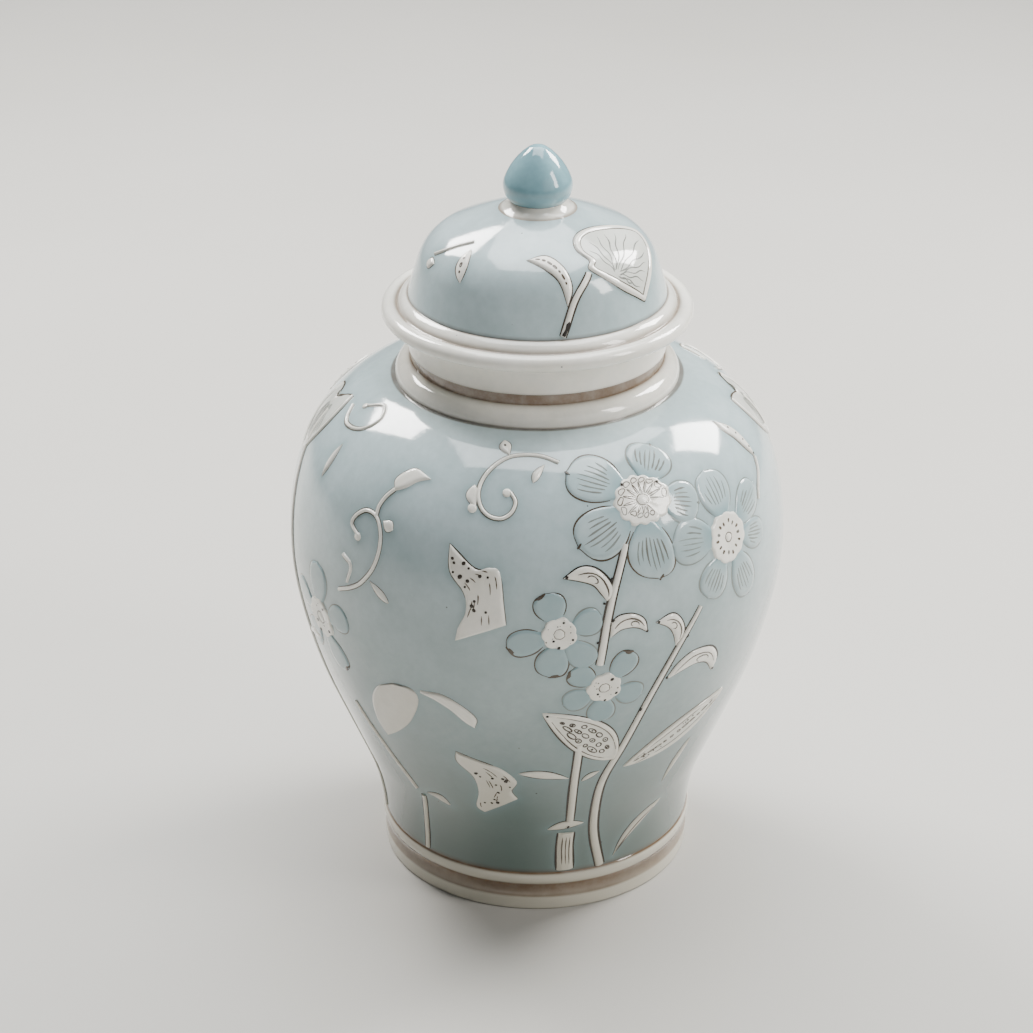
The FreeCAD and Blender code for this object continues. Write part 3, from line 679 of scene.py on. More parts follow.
LEFT_PETALS = [(20, 22.0, 12.0), (88, 25.0, 14.0), (160, 22.0, 12.0), (228, 23.0, 12.0), (296, 24.0, 13.0)]

# Leaves: two edges, each from the leaf's base to its tip.
HOOKED_LEAVES = [
    ([(-74.0, 161.1), (-73.5, 164.4), (-75.2, 169.7), (-77.9, 173.2), (-81.0, 173.4), (-84.6, 169.8)],
     [(-75.0, 159.8), (-76.3, 163.1), (-77.9, 166.5), (-80.8, 168.4), (-84.6, 169.8)]),
    ([(-74.1, 151.1), (-72.0, 153.2), (-68.9, 153.0), (-66.4, 149.9), (-65.5, 144.0)],
     [(-74.3, 144.3), (-72.0, 147.1), (-69.3, 147.5), (-67.3, 146.4), (-65.5, 144.0)]),
    ([(-56.9, 137.6), (-56.0, 141.0), (-57.1, 146.2), (-59.5, 149.4), (-63.6, 147.4)],
     [(-58.1, 134.4), (-59.0, 140.5), (-60.6, 144.3), (-63.6, 147.4)]),
    ([(-59.3, 120.0), (-56.7, 125.5), (-52.6, 129.0), (-47.0, 127.5), (-44.1, 121.0), (-45.1, 114.5)],
     [(-58.6, 119.4), (-54.7, 121.3), (-51.0, 122.2), (-47.6, 120.2), (-45.1, 114.5)]),
]
ROUND_LEAF = (
    [(-133.9, 81.2), (-135.8, 89.3), (-135.0, 100.0), (-131.5, 109.0), (-125.9, 114.3)],
    [(-133.9, 81.2), (-127.6, 88.5), (-122.5, 97.5), (-119.2, 109.0), (-120.7, 114.6), (-125.9, 114.3)],
)
ROUND_LEAF_ARM = ([(-118.2, 115.1), (-112.6, 115.4), (-107.8, 111.4), (-104.7, 106.0), (-105.3, 100.7)],
                  [(-118.3, 113.7), (-114.9, 112.1), (-111.0, 108.4), (-107.8, 103.4), (-105.3, 100.7)])
SHOULDER_LEAF = ([(-19.9, 188.3), (-19.4, 192.1), (-19.8, 196.7), (-21.4, 201.0), (-25.9, 204.7)],
                 [(-19.9, 188.3), (-22.0, 193.2), (-23.5, 197.6), (-25.4, 201.3), (-25.9, 204.7)])
SCROLL_LEAF = ([(-128.3, 192.8), (-129.4, 195.6), (-127.8, 198.4), (-124.7, 200.4), (-119.2, 198.6)],
               [(-128.0, 192.5), (-125.3, 194.3), (-122.6, 197.0), (-119.2, 198.6)])
UPPER_BUTTERFLY = (
    [(-108.3, 142.5), (-107.6, 148.5), (-105.9, 155.5), (-106.5, 162.8), (-110.0, 170.2), (-110.6, 180.1)],
    [(-97.0, 151.4), (-97.6, 160.0), (-98.6, 171.8), (-101.2, 173.2), (-104.2, 172.3), (-110.6, 180.1)],
)
LOWER_BUTTERFLY = (
    [(-106.9, 50.2), (-109.2, 53.5), (-107.5, 62.5), (-108.2, 72.0), (-112.0, 79.5), (-111.6, 85.4)],
    [(-95.8, 60.8), (-97.4, 65.5), (-95.7, 71.5), (-99.5, 78.4), (-104.0, 81.2), (-111.6, 85.4)],
)
LID_LEAF = [(-34.2, 252.2), (-22.0, 260.0), (-8.7, 266.5), (-1.0, 270.5), (-7.5, 273.8), (-36.8, 276.8),
            (-58.0, 276.0), (-63.5, 273.4), (-59.5, 270.6), (-61.5, 268.2), (-48.5, 260.6)]

# Scrolls: the places that each cord runs through.
SHOULDER_CORD = [
    (-84.0, 205.9), (-88.4, 207.3), (-93.3, 207.7), (-98.7, 207.1), (-102.5, 205.0), (-104.9, 201.7),
    (-105.6, 197.6), (-104.4, 193.5), (-102.1, 190.9), (-99.1, 190.3), (-96.7, 192.2), (-95.8, 195.5),
    (-97.2, 198.2),
]
HANGING_CORD = [
    (-135.6, 173.4), (-138.0, 176.2), (-137.3, 179.8), (-134.5, 183.1), (-131.0, 182.4), (-128.9, 177.7),
    (-128.4, 171.2), (-129.6, 163.3), (-132.7, 155.8), (-136.1, 151.5), (-140.1, 148.2),
]


# The sprigs, each as it lies on the front. Angles are in degrees round the jar, with -90 at the front.

def large_flower_disc(s):
    on = s.disc(LARGE_FLOWER, 12.4, 9.9, 2.2, 13, 0.09)
    s.ring(on, 0.2, 0.6, 20, 0.6)
    for index in range(13):
        around = math.radians(5.0 + 24.0 * index)
        far = 0.78 if index < 9 else 0.62
        for side in (-0.09, 0.09):
            spots = [on(0.26 + (far - 0.34) * i / 4, around + side * (1.0 + 0.3 * i)) for i in range(5)]
            s.stroke(spots, 0.34, 0.5, 0.9, s.hand.uniform(0.35, 0.6))
        loop = [on(far + 0.09 * math.cos(a), around + 0.17 * math.sin(a))
                for a in (math.tau * i / 10 for i in range(11))]
        s.stroke(loop, 0.36, 1.0, 1.0, s.hand.uniform(0.35, 0.6))
    for share, around in ((0.9, 2.3), (0.86, 0.6)):
        s.dab(on(share, around, TOUCHED), 1.5, 0.9)


def large_flower_petals(s):
    inks = (0.25, 0.6, 0.65, 0.5, 0.1)
    for petal, ink, lean in zip(LARGE_PETALS, inks, (0.0, 0.1, -0.1, 0.2, 0.0)):
        on = s.petal(LARGE_FLOWER, 8.0, petal, 7, ink, 0.12, lean)
        s.stroke([on(0.9 + 0.025 * i, lean * 2.0) for i in range(5)], 0.9, 0.4, 0.6, ink + 0.1)


def side_flower_disc(s):
    on = s.disc(SIDE_FLOWER, 10.4, 10.3, 1.6, 11, 0.06)
    s.ring(on, 0.17, 0.55, 18, 0.45)
    for index in range(14):
        around = math.tau * index / 14 + s.hand.uniform(-0.06, 0.06)
        share = 0.6 + s.hand.uniform(-0.04, 0.05)
        s.stroke([on(share + 0.04 * i, around) for i in range(-2, 3)], 1.0, 0.5, 0.5,
                 s.hand.uniform(0.3, 0.75))


def side_flower_petals(s):
    for petal in SIDE_PETALS:
        s.petal(SIDE_FLOWER, 8.0, petal, 6, 0.12, 0.0, 0.05)


def small_disc(s, centre, radius):
    on = s.disc(centre, radius, radius, 1.8, 7, 0.1)
    s.ring(on, 0.3, 0.45, 18, 0.45)
    for around, share in ((1.1, 0.72), (3.9, 0.5), (-0.5, 0.78), (4.6, 0.86)):
        s.dab(on(share, around + s.hand.uniform(-0.2, 0.2), TOUCHED), s.hand.uniform(1.1, 1.7))
    for _ in range(9):
        share, around = s.hand.uniform(0.4, 0.9), s.hand.uniform(0.0, math.tau)
        s.dab(on(share, around), s.hand.uniform(0.4, 0.8), 0.4)


def upper_small_flower_disc(s):
    small_disc(s, UPPER_FLOWER, 7.0)


def lower_small_flower_disc(s):
    small_disc(s, LOWER_FLOWER, 7.2)


def bud_flower_disc(s):
    small_disc(s, LEFT_FLOWER, 9.0)


def small_petals(s, centre, petals, inner, inks):
    for petal, ink in zip(petals, inks):
        on = s.petal(centre, inner, petal, 0, ink, 0.0, 0.04, 0.45)
        if ink > 0.5:
            s.stroke([on(0.84 + 0.03 * i, 1.0 - 0.25 * i) for i in range(6)], 1.3, 0.5, 0.3, ink)


def upper_small_flower_petals(s):
    small_petals(s, UPPER_FLOWER, UPPER_PETALS, 5.0, (0.2, 0.7, 0.6, 0.65, 0.15))


def lower_small_flower_petals(s):
    small_petals(s, LOWER_FLOWER, LOWER_PETALS, 5.0, (0.6, 0.55, 0.2, 0.3, 0.2))


def bud_flower_petals(s):
    small_petals(s, LEFT_FLOWER, LEFT_PETALS, 7.0, (0.3, 0.2, 0.2, 0.3, 0.7))


def tall_stem(s):
    s.stem([(-66.5, 18.6), (-70.5, 40), (-71.5, 66), (-67.8, 88), (-63.2, 112), (-57.6, 133), (-51.6, 148.5)],
           3.6, 1.8, (0.8, 1.05), 8)
    for angle, height in ((-65.0, 107.0), (-58.9, 126.0), (-55.2, 137.5)):
        s.dab(s.spots([(angle, height), (angle, height - 1.0)], 2, 0.4)[0], 1.6, 0.95)


def short_stem(s):
    s.stem([(-69.8, 180), (-73.1, 164.3), (-75.0, 150.9), (-76.4, 133)], 2.4, 2.9, (0.8, 1.0), 9)
    for angle, height in ((-73.6, 168.0), (-72.6, 165.0), (-75.6, 159.0), (-77.0, 143.0), (-73.6, 151.5)):
        s.dab(s.spots([(angle, height), (angle, height - 1.0)], 2, 0.3)[0], s.hand.uniform(1.2, 1.9), 0.95)


def low_stem(s):
    s.stem([(-79.5, 93), (-79.6, 72), (-79.2, 46)], 2.9, 2.9, (0.7, 0.9), 10)
    s.leaf((-86.5, 41.5), (-74.4, 44.0), 4.6, 0.5, 1.6)
    s.stem([(-80.0, 39), (-80.2, 32), (-80.0, 25), (-79.8, 19.2)], 6.4, 6.8, (0.8, 0.9), 6)
    for index in range(3):
        angle = -81.2 + index * 1.3
        spots = s.spots([(angle, 37.0), (angle - 0.1, 30.0), (angle + 0.2, 22.0)], 6, RELIEF)
        s.stroke(spots, 0.45, 0.3, 0.1)
    s.dab(s.spots([(-80.4, 43.2), (-79.0, 43.2)], 2, RELIEF)[1], 1.3)


def rimmed(rim, sunk_share):
    """The height of a leaf whose middle lies lower than its rim, by how far in from the edge it is."""
    def profile(edge):
        high = RELIEF * math.sin(math.pi / 2 * min(1.0, edge / 0.7)) ** 0.8
        return high - RELIEF * sunk_share * soft_step(edge, rim - 0.3, rim + 0.5)
    return profile


def broad_leaf(s):
    width, belly = 17.5, 0.42
    on = s.leaf((-69.5, 82.5), (-89.0, 111.0), width, belly, -3.5, 0.95, rimmed(1.7, 0.45),
                lambda u, v, edge: 0.2 * soft_step(edge, 1.4, 2.3), 28, 18)
    for side in (1, -1):
        inner = []
        for i in range(25):
            u = 0.1 + 0.78 * i / 24
            inner.append(on(u, side * (1.0 - 3.8 / max(4.5, 2 * leaf_half(u, width, belly)))))
        s.stroke(inner, 0.6, 0.4, 0.4, 0.6)
    places = []
    for u, count in ((0.2, 2), (0.3, 3), (0.4, 3), (0.5, 3), (0.6, 3), (0.7, 2), (0.79, 1)):
        apart = 0.42 if count > 2 else 0.4
        places += [(u, (k - (count - 1) / 2) * apart) for k in range(count)]
    s.cells(on, places, 0.052, 0.6, 0.75)
    for u, v in places[::2]:
        s.dab(on(u, v, TOUCHED), s.hand.uniform(0.8, 1.4), 0.8)
    s.dab(on(0.95, 0.0, TOUCHED), 1.5)


def long_leaf(s):
    on = s.leaf((-66.0, 75.5), (-36.8, 99.5), 14.0, 0.52, 0.6, 0.7, rimmed(1.8, 0.4),
                lambda u, v, edge: 0.3 * soft_step(edge, 1.6, 2.3), 36, 14, 0.55)
    s.cells(on, [(0.12 + 0.74 * i / 11, 0.0) for i in range(12)], 0.034, 0.5, 0.6)
    for side in (1, -1):
        s.stroke([on(0.1 + 0.04 * i, side * 0.55) for i in range(21)], 0.5, 0.3, 0.3, 0.45)
    for _ in range(14):
        fleck = on(s.hand.uniform(0.15, 0.88), s.hand.uniform(-0.4, 0.4), TOUCHED)
        s.dab(fleck, s.hand.uniform(0.6, 1.2), 0.75)


def crescent(s, base, tip, width, belly, bend):
    """A comma of clay with a dark outline."""
    return s.leaf(base, tip, width, belly, bend, 0.7, None,
                  lambda u, v, edge: 0.2 * fading(edge, 0.0, 1.2))


def hooked(s, sides):
    """A leaf that hooks over to a point, with its outline heavier on the outside and a curl drawn inside."""
    on = s.sided(sides)
    s.round_edge(on, 1.05, ((1, 0.0, 1.0),), ink=0.9)
    s.round_edge(on, 0.7, ((-1, 0.05, 1.0),), ink=0.75)
    s.stroke([on(0.1 + 0.07 * i, -0.1 + 0.5 * math.sin(0.3 * i)) for i in range(11)], 0.55, 0.4, 0.3, 0.6)
    s.stroke([on(0.55 + 0.1 * math.cos(a), -0.35 + 0.4 * math.sin(a)) for a in (0.6 * i for i in range(8))],
             0.5, 0.5, 0.3, 0.7)
    s.dab(on(0.0, 0.7, TOUCHED), 1.7, 0.95)
    s.dab(on(0.95, 0.0, 0.02), 1.3, 0.9)


def crescent_leaves(s):
    for sides in HOOKED_LEAVES:
        hooked(s, sides)
    crescent(s, (-81.2, 73.0), (-95.2, 76.5), 4.6, 0.55, -1.8)
    crescent(s, (-77.6, 70.5), (-72.8, 75.5), 2.6, 0.5, 0.8)
    low = crescent(s, (-61.5, 20.5), (-43.5, 43.5), 4.6, 0.6, 3.6)
    s.stroke([low(0.1 + 0.075 * i, 0.0) for i in range(11)], 0.6, 0.3, 0.2)
    crescent(s, (-47.5, 55.0), (-43.0, 78.0), 3.0, 0.6, 1.4)


def shoulder_scroll(s):
    s.stem(SHOULDER_CORD, 1.5, 1.3, (0.4, 0.55), 5, 0.35)
    s.bulb(-98.2, 198.0, 3.4)
    on = s.leaf((-98.8, 207.4), (-101.6, 210.4), 4.4, 0.6, 0.6, 0.45, ink=0.4)
    s.dab(on(0.6, 0.0, TOUCHED), 1.3, 0.7)
    s.leaf((-105.4, 192.6), (-107.0, 199.4), 4.6, 0.6, 1.6, 0.4, ink=0.3)
    s.bulb(-106.4, 192.6, 3.6)
    s.leaf((-88.0, 205.6), (-91.5, 200.9), 3.0, 0.6, -0.8, 0.4, ink=0.3)


def hanging_scroll(s):
    s.stem([(-128.3, 193.0), (-130.0, 190.0), (-131.1, 186.2), (-131.1, 182.4)],
           1.6, 1.4, (0.45, 0.45), 6, 0.4)
    s.round_edge(s.sided(SCROLL_LEAF), 0.5, ((1, 0.0, 0.9),), ink=0.35)
    s.stem(HANGING_CORD, 1.4, 1.5, (0.45, 0.55), 5, 0.4)
    s.bulb(-135.4, 172.6, 3.4)
    s.leaf((-128.8, 181.8), (-125.6, 179.8), 4.8, 0.6, 0.0, 0.4, ink=0.25)
    s.leaf((-130.4, 158.0), (-124.6, 151.4), 3.2, 0.6, 0.0, 0.5, ink=0.55)
    s.stem([(-139.3, 163.4), (-136.3, 160.4), (-137.2, 153.2)], 1.8, 1.2, (0.0, 0.5), 6, 0.4)


def edge_scroll(s):
    s.stem([(-166.0, 205.0), (-160.0, 201.5), (-152.0, 203.0), (-149.0, 207.2), (-154.0, 209.4),
            (-160.0, 207.4)], 1.5, 1.3, (0.5, 0.6), 6, 0.4)
    s.bulb(-160.4, 207.0, 3.0)
    s.leaf((-154.0, 197.0), (-155.0, 184.0), 3.4, 0.5, 0.0, 0.5, ink=0.4)


def butterfly(s, sides):
    """An angular two-winged shape with a line only on its upper edge, flecked and finely veined."""
    on = s.sided(sides, None, lambda u, v, edge: 0.12 * fading(edge, 0.0, 1.5), 34, 18, 0.1)
    s.round_edge(on, 0.8, ((-1, 0.72, 1.0),), ink=0.75)
    s.round_edge(on, 0.5, ((1, 0.55, 1.0), (-1, 0.0, 0.35)), ink=0.3)
    for _ in range(14):
        fleck = on(s.hand.uniform(0.08, 0.9), s.hand.uniform(-0.75, 0.75), TOUCHED)
        s.dab(fleck, s.hand.uniform(1.0, 1.9), 0.85)
    for _ in range(12):
        u, v = s.hand.uniform(0.06, 0.7), s.hand.uniform(-0.8, 0.8)
        s.stroke([on(u + 0.025 * i, v) for i in range(5)], 0.45, 0.4, 0.2, 0.5)


def upper_butterfly(s):
    butterfly(s, UPPER_BUTTERFLY)


def lower_butterfly(s):
    butterfly(s, LOWER_BUTTERFLY)


def round_leaf_spray(s):
    s.sided(ROUND_LEAF, None, None, 26, 16, 0.2)
    s.round_edge(s.sided(ROUND_LEAF_ARM), 0.6, ((1, 0.1, 1.0),), ink=0.3)
    s.stem([(-134.0, 19.0), (-132.4, 34), (-129.2, 50)], 2.4, 2.0, (0.6, 0.7), 8)
    s.stem([(-131.2, 53), (-138.0, 72), (-144.0, 92)], 1.8, 1.4, (0.5, 0.6), 8, 0.5)
    s.leaf((-127.4, 52.5), (-118.8, 49.5), 3.6, 0.6, 3.0, 0.6)


def heart_leaf(s):
    s.heart((-178.0, 201.0), -78, 24.0, 26.0)
    s.stem([(-175.5, 198), (-171.5, 176), (-167.5, 150), (-164.5, 122), (-163.5, 92), (-165.5, 56),
            (-167.5, 19.5)], 2.6, 3.2, (0.6, 0.8), 8)
    crescent(s, (-163.0, 110.0), (-152.0, 116.0), 5.0, 0.6, 3.0)
    crescent(s, (-166.5, 76.0), (-178.0, 93.0), 6.0, 0.6, -3.0)
    on = s.sided(SHOULDER_LEAF)
    s.round_edge(on, 0.6, ((1, 0.0, 1.0), (-1, 0.0, 1.0)), ink=0.6)
    for index in range(5):
        s.dab(on(0.1 + 0.16 * index, 0.1, TOUCHED), 1.0, 0.9)
    s.stem([(-19.9, 188.8), (-21.6, 184.5), (-24.6, 180), (-26.2, 176)], 1.5, 1.2, (0.5, 0.5), 6, 0.55)


def lid_heart_leaf(s):
    centre = (-38.0, 268.0)
    here = seat(s.wall, *centre)
    reaches = [seat(s.wall, *place)[0] - here[0] for place in LID_LEAF + LID_LEAF[:1]]
    outline = eased([(reach.dot(here[1]), reach.dot(here[2]), 0.0) for reach in reaches], 8)
    rays = sorted((math.atan2(spot.y, spot.x), spot.length) for spot in outline[:-1])
    rays = [(rays[-1][0] - math.tau, rays[-1][1])] + rays + [(rays[0][0] + math.tau, rays[0][1])]

    def reach(around):
        around = (around + math.pi) % math.tau - math.pi
        for (first, near), (second, far) in zip(rays, rays[1:]):
            if first <= around <= second:
                return near + (far - near) * (around - first) / max(1e-6, second - first)
        return rays[0][1]

    profile = rimmed(1.8, 0.5)

    def high(share, around):
        return profile((1.0 - share) * reach(around))

    def tint(share, around):
        return 0.55 * soft_step((1.0 - share) * reach(around), 1.5, 2.4)

    on = s.plate(centre, reach, high, tint, 30, 120)
    for inset, line, ink in ((0.0, 0.8, 0.75), (2.3, 0.7, 0.6)):
        s.stroke([on(1.0 - inset / reach(math.tau * i / 120), math.tau * i / 120, 0.02) for i in range(121)],
                 line, 0.6, 0.6, ink)
    root = Vector((-0.62 * reach(math.radians(205)), -0.25 * reach(math.radians(270)), 0.0))
    for index in range(13):
        around = math.radians(-100.0 + 235.0 * index / 12)
        far = 0.72 * reach(around)
        end = Vector((far * math.cos(around), far * math.sin(around), 0.0))
        side = Vector((root.y - end.y, end.x - root.x, 0.0)).normalized()
        ripple = s.hand.uniform(0.0, math.tau)
        spots = []
        for i in range(13):
            spot = root.lerp(end, 0.1 + 0.9 * i / 12) + side * 0.45 * math.sin(0.9 * i + ripple)
            spots.append(lay(s.wall, here, spot.x, spot.y, RELIEF * 0.5 + DRAWN))
        s.stroke(spots, 0.5, 0.4, 0.2, 0.3)


def lid_stem(s):
    s.stem([(-79.5, 247.0), (-72.8, 259.8), (-63.0, 267.6)], 2.2, 2.0, (0.8, 0.9), 10, 0.8)
    s.stroke(s.spots([(-79.4, 247.2), (-77.6, 250.0), (-76.4, 252.4)], 4, RELIEF), 1.6, 0.8, 0.2, 0.95)


def lid_crescent_leaf(s):
    on = s.sided(([(-76.6, 257.5), (-73.6, 264.0), (-76.0, 270.0), (-85.0, 272.8), (-97.2, 271.8)],
                  [(-76.6, 257.5), (-79.6, 266.0), (-86.0, 269.6), (-97.2, 271.8)]))
    s.round_edge(on, 0.8, ((1, 0.0, 1.0), (-1, 0.0, 1.0)), ink=0.75)
    s.cells(on, [(0.3 + 0.09 * i, 0.0) for i in range(7)], 0.04, 0.45, 0.6)


def lid_scroll(s):
    on = s.leaf((-130.5, 262.5), (-136.0, 272.0), 5.0, 0.5, 1.0, 0.6, ink=0.6)
    s.cells(on, [(0.3, 0.0), (0.5, 0.0), (0.7, 0.0)], 0.06, 0.4)
    s.stem([(-140.0, 273.6), (-148.0, 271.4), (-158.0, 267.0)], 1.5, 1.5, (0.5, 0.5), 6, 0.4)
    s.leaf((-153.0, 264.6), (-160.0, 263.4), 4.4, 0.6, 0.0, 0.5, ink=0.4)


JAR_SPRIGS = [
    large_flower_disc, side_flower_disc, upper_small_flower_disc, lower_small_flower_disc,
    large_flower_petals, side_flower_petals, upper_small_flower_petals, lower_small_flower_petals,
    tall_stem, short_stem, low_stem, broad_leaf, long_leaf, crescent_leaves,
    shoulder_scroll, hanging_scroll, edge_scroll, upper_butterfly, lower_butterfly,
    round_leaf_spray, bud_flower_disc, bud_flower_petals, heart_leaf,
]
LID_SPRIGS = [lid_heart_leaf, lid_stem, lid_crescent_leaf, lid_scroll]
FIRST_SEED = 7


# Glazes and pigments

def linear(code):
    """An sRGB hex colour as linear red, green, blue and alpha."""
    parts = [int(code[i:i + 2], 16) / 255.0 for i in (1, 3, 5)]
    parts = [part / 12.92 if part <= 0.04045 else ((part + 0.055) / 1.055) ** 2.4 for part in parts]
    return (*parts, 1.0)


def add(tree, kind, inputs, **settings):
    """A node with its settings, its socket values and its links."""
    made = tree.nodes.new(kind)
    for name, value in settings.items():
        setattr(made, name, value)
    for name, value in inputs.items():
        if isinstance(value, bpy.types.NodeSocket):
            tree.links.new(value, made.inputs[name])
        else:
            made.inputs[name].default_value = value
    return made


def blend(tree, factor, first, second):
    """Two colours mixed by a factor."""
    return add(tree, "ShaderNodeMix", {0: factor, 6: first, 7: second}, data_type="RGBA").outputs[2]


def repeat(size):
    """The texture scale at which a pattern in metres has that size in millimetres."""
    return 1000.0 / size


def glazed(name, pale, deep, shaded, iron_colour, patch_mm, gloss, low=None):
    """Porcelain under a fired glaze: glassy, a little uneven, and darker where the glaze has pooled.

    pale and deep are the glaze thin and pooled, shaded its cloudy tone, and iron_colour the wash in hollows.
    low is a painted shade: a darker colour that the glaze is turned to low on the jar, with the heights where
    it is full and gone.
    """
    material = bpy.data.materials.new(name)
    material.use_nodes = True
    tree = material.node_tree
    shader = tree.nodes["Principled BSDF"]
    place = add(tree, "ShaderNodeTexCoord", {}).outputs["Object"]
    clouds = add(tree, "ShaderNodeTexNoise", {"Vector": place, "Scale": repeat(patch_mm), "Detail": 3.0,
                                              "Roughness": 0.55, "Distortion": 0.4})
    cloud_share = add(tree, "ShaderNodeMapRange", {0: clouds.outputs[0], 1: 0.38, 2: 0.66, 3: 0.0, 4: 0.75})
    mottle = add(tree, "ShaderNodeTexNoise", {"Vector": place, "Scale": repeat(MOTTLE_SIZE), "Detail": 4.0,
                                              "Roughness": 0.6})
    mottle_share = add(tree, "ShaderNodeMapRange", {0: mottle.outputs[0], 1: 0.35, 2: 0.7, 3: 0.0, 4: 0.18})
    colour = blend(tree, cloud_share.outputs[0], linear(pale), linear(shaded))
    colour = blend(tree, mottle_share.outputs[0], colour, linear(deep))
    # Painted shade: the colour is darkened towards the bottom of the piece, as if shaded from the lights
    # above.
    if low:
        height = add(tree, "ShaderNodeSeparateXYZ", {0: place}).outputs[2]
        painted_shade_share = add(tree, "ShaderNodeMapRange", {0: height, 1: low[1] * MM, 2: low[2] * MM, 3: 1.0, 4: 0.0},
                   interpolation_type="SMOOTHSTEP")
        colour = blend(tree, painted_shade_share.outputs[0], colour, linear(low[0]))
    pool = add(tree, "ShaderNodeAttribute", {}, attribute_name="tint").outputs["Fac"]
    colour = blend(tree, pool, colour, linear(deep))
    wash = add(tree, "ShaderNodeAttribute", {}, attribute_name="iron").outputs["Fac"]
    streaks = add(tree, "ShaderNodeTexNoise", {"Vector": place, "Scale": repeat(STREAK_SIZE), "Detail": 5.0,
                                               "Roughness": 0.65})
    worn = add(tree, "ShaderNodeMapRange", {0: streaks.outputs[0], 1: 0.3, 2: 0.62, 3: 0.86, 4: 1.0})
    washed = add(tree, "ShaderNodeMath", {0: wash, 1: worn.outputs[0]}, operation="MULTIPLY", use_clamp=True)
    colour = blend(tree, washed.outputs[0], colour, linear(iron_colour))
    # Iron flecks in the clay body, about half a millimetre across and a few centimetres apart.
    flecks = add(tree, "ShaderNodeTexVoronoi", {"Vector": place, "Scale": repeat(FLECK_SPACING)})
    fleck = add(tree, "ShaderNodeMapRange",
                {0: flecks.outputs["Distance"], 1: 0.018, 2: 0.03, 3: 0.75, 4: 0.0})
    colour = blend(tree, fleck.outputs[0], colour, linear(IRON_FLECK))
    # The fired surface: a slow unevenness from throwing, and a finer orange-peel skin.
    slow = add(tree, "ShaderNodeTexNoise", {"Vector": place, "Scale": repeat(THROWING_SIZE), "Detail": 1.0})
    fine = add(tree, "ShaderNodeTexNoise", {"Vector": place, "Scale": repeat(SKIN_SIZE), "Detail": 2.0})
    uneven = add(tree, "ShaderNodeBump", {"Height": slow.outputs[0], "Strength": 0.22, "Distance": 0.0025})
    skin = add(tree, "ShaderNodeBump", {"Height": fine.outputs[0], "Strength": 0.1, "Distance": 0.0004,
                                        "Normal": uneven.outputs[0]})
    tree.links.new(colour, shader.inputs["Base Color"])
    tree.links.new(skin.outputs[0], shader.inputs["Normal"])
    shader.inputs["Roughness"].default_value = gloss
    shader.inputs["IOR"].default_value = 1.52
    shader.inputs["Coat Weight"].default_value = 0.6
    shader.inputs["Coat Roughness"].default_value = 0.05
    shader.inputs["Coat IOR"].default_value = 1.5
    return material


def plain_finish(name, main, other, patch_mm, roughness, grain_mm, inks=None):
    """An unglazed or painted surface: one colour with a soft drift to a second, and a fine grain.

    inks are the half-strength and full-strength colours that a brush line's own "ink" attribute runs to.
    """
    material = bpy.data.materials.new(name)
    material.use_nodes = True
    tree = material.node_tree
    shader = tree.nodes["Principled BSDF"]
    place = add(tree, "ShaderNodeTexCoord", {}).outputs["Object"]
    drift = add(tree, "ShaderNodeTexNoise", {"Vector": place, "Scale": repeat(patch_mm), "Detail": 4.0})
    share = add(tree, "ShaderNodeMapRange", {0: drift.outputs[0], 1: 0.35, 2: 0.65, 3: 0.0, 4: 1.0})
    grain = add(tree, "ShaderNodeTexNoise", {"Vector": place, "Scale": repeat(grain_mm), "Detail": 3.0})
    bump = add(tree, "ShaderNodeBump", {"Height": grain.outputs[0], "Strength": 0.3, "Distance": 0.0002})
    colour = blend(tree, share.outputs[0], linear(main), linear(other))
    if inks:
        ink = add(tree, "ShaderNodeAttribute", {}, attribute_name="ink").outputs["Fac"]
        for code, low, high in zip(inks, (0.0, 0.5), (0.5, 1.0)):
            strength = add(tree, "ShaderNodeMapRange", {0: ink, 1: low, 2: high, 3: 0.0, 4: 1.0})
            colour = blend(tree, strength.outputs[0], colour, linear(code))
    tree.links.new(colour, shader.inputs["Base Color"])
    tree.links.new(bump.outputs[0], shader.inputs["Normal"])
    shader.inputs["Roughness"].default_value = roughness
    return material


# Sky-blue celadon-like glaze on porcelain: glassy, clouded with grey, with painted shade darkening it low on
# the jar.
blue_glaze = glazed("blue_porcelain_glaze", "#C2D4D8", "#7F999B", "#AFC2C5", IRON_WASH, 34.0, 0.1,
                    ("#5E6D68", 15.0, 205.0))
# The same glaze where it lies thick over a petal or the bud: a touch greener and brighter, with the same
# painted shade low on the jar.
teal_glaze = glazed("teal_porcelain_glaze", "#B9CBCE", "#7F9FA5", "#AABEC1", IRON_WASH, 14.0, 0.1,
                    ("#66797A", 15.0, 205.0))
bud_glaze = glazed("deep_teal_bud_glaze", "#8DB6C0", "#4E7580", "#7299A4", IRON_WASH, 14.0, 0.07)
# Clear glaze over white clay: cream, with the blue gathered in its hollows, iron wash rubbed into grooves,
# and painted shade darkening it lower down.
cream_glaze = glazed("cream_clear_glaze", "#FAF7EE", "#C3CBC5", "#F0ECE0", "#6B5239", 18.0, 0.1,
                     ("#C9C4B4", 10.0, 150.0))
# Iron and cobalt pigment brushed on under the glaze: nearly black where thick, brown where thin.
line_pigment = plain_finish("underglaze_brush_line", "#97A4A2", "#87928E", 5.0, 0.2, 3.0,
                            ("#5C5145", "#1E1B18"))
# Porcelain left bare where the lid sits in the neck: dry, chalky, slightly pink.
bare_porcelain = plain_finish("bare_biscuit_porcelain", "#D9D1C4", "#CFC3B2", 9.0, 0.75, 0.7)


# Turned pieces

def drawn(start, *moves):
    """(radius, height) points from a start. A move is (end, count), or (middle, end, count) on an arc."""
    points = [start]
    for *middle, end, count in moves:
        points += bow(points[-1], *middle, end, count) if middle else run(points[-1], end, count)
    return points


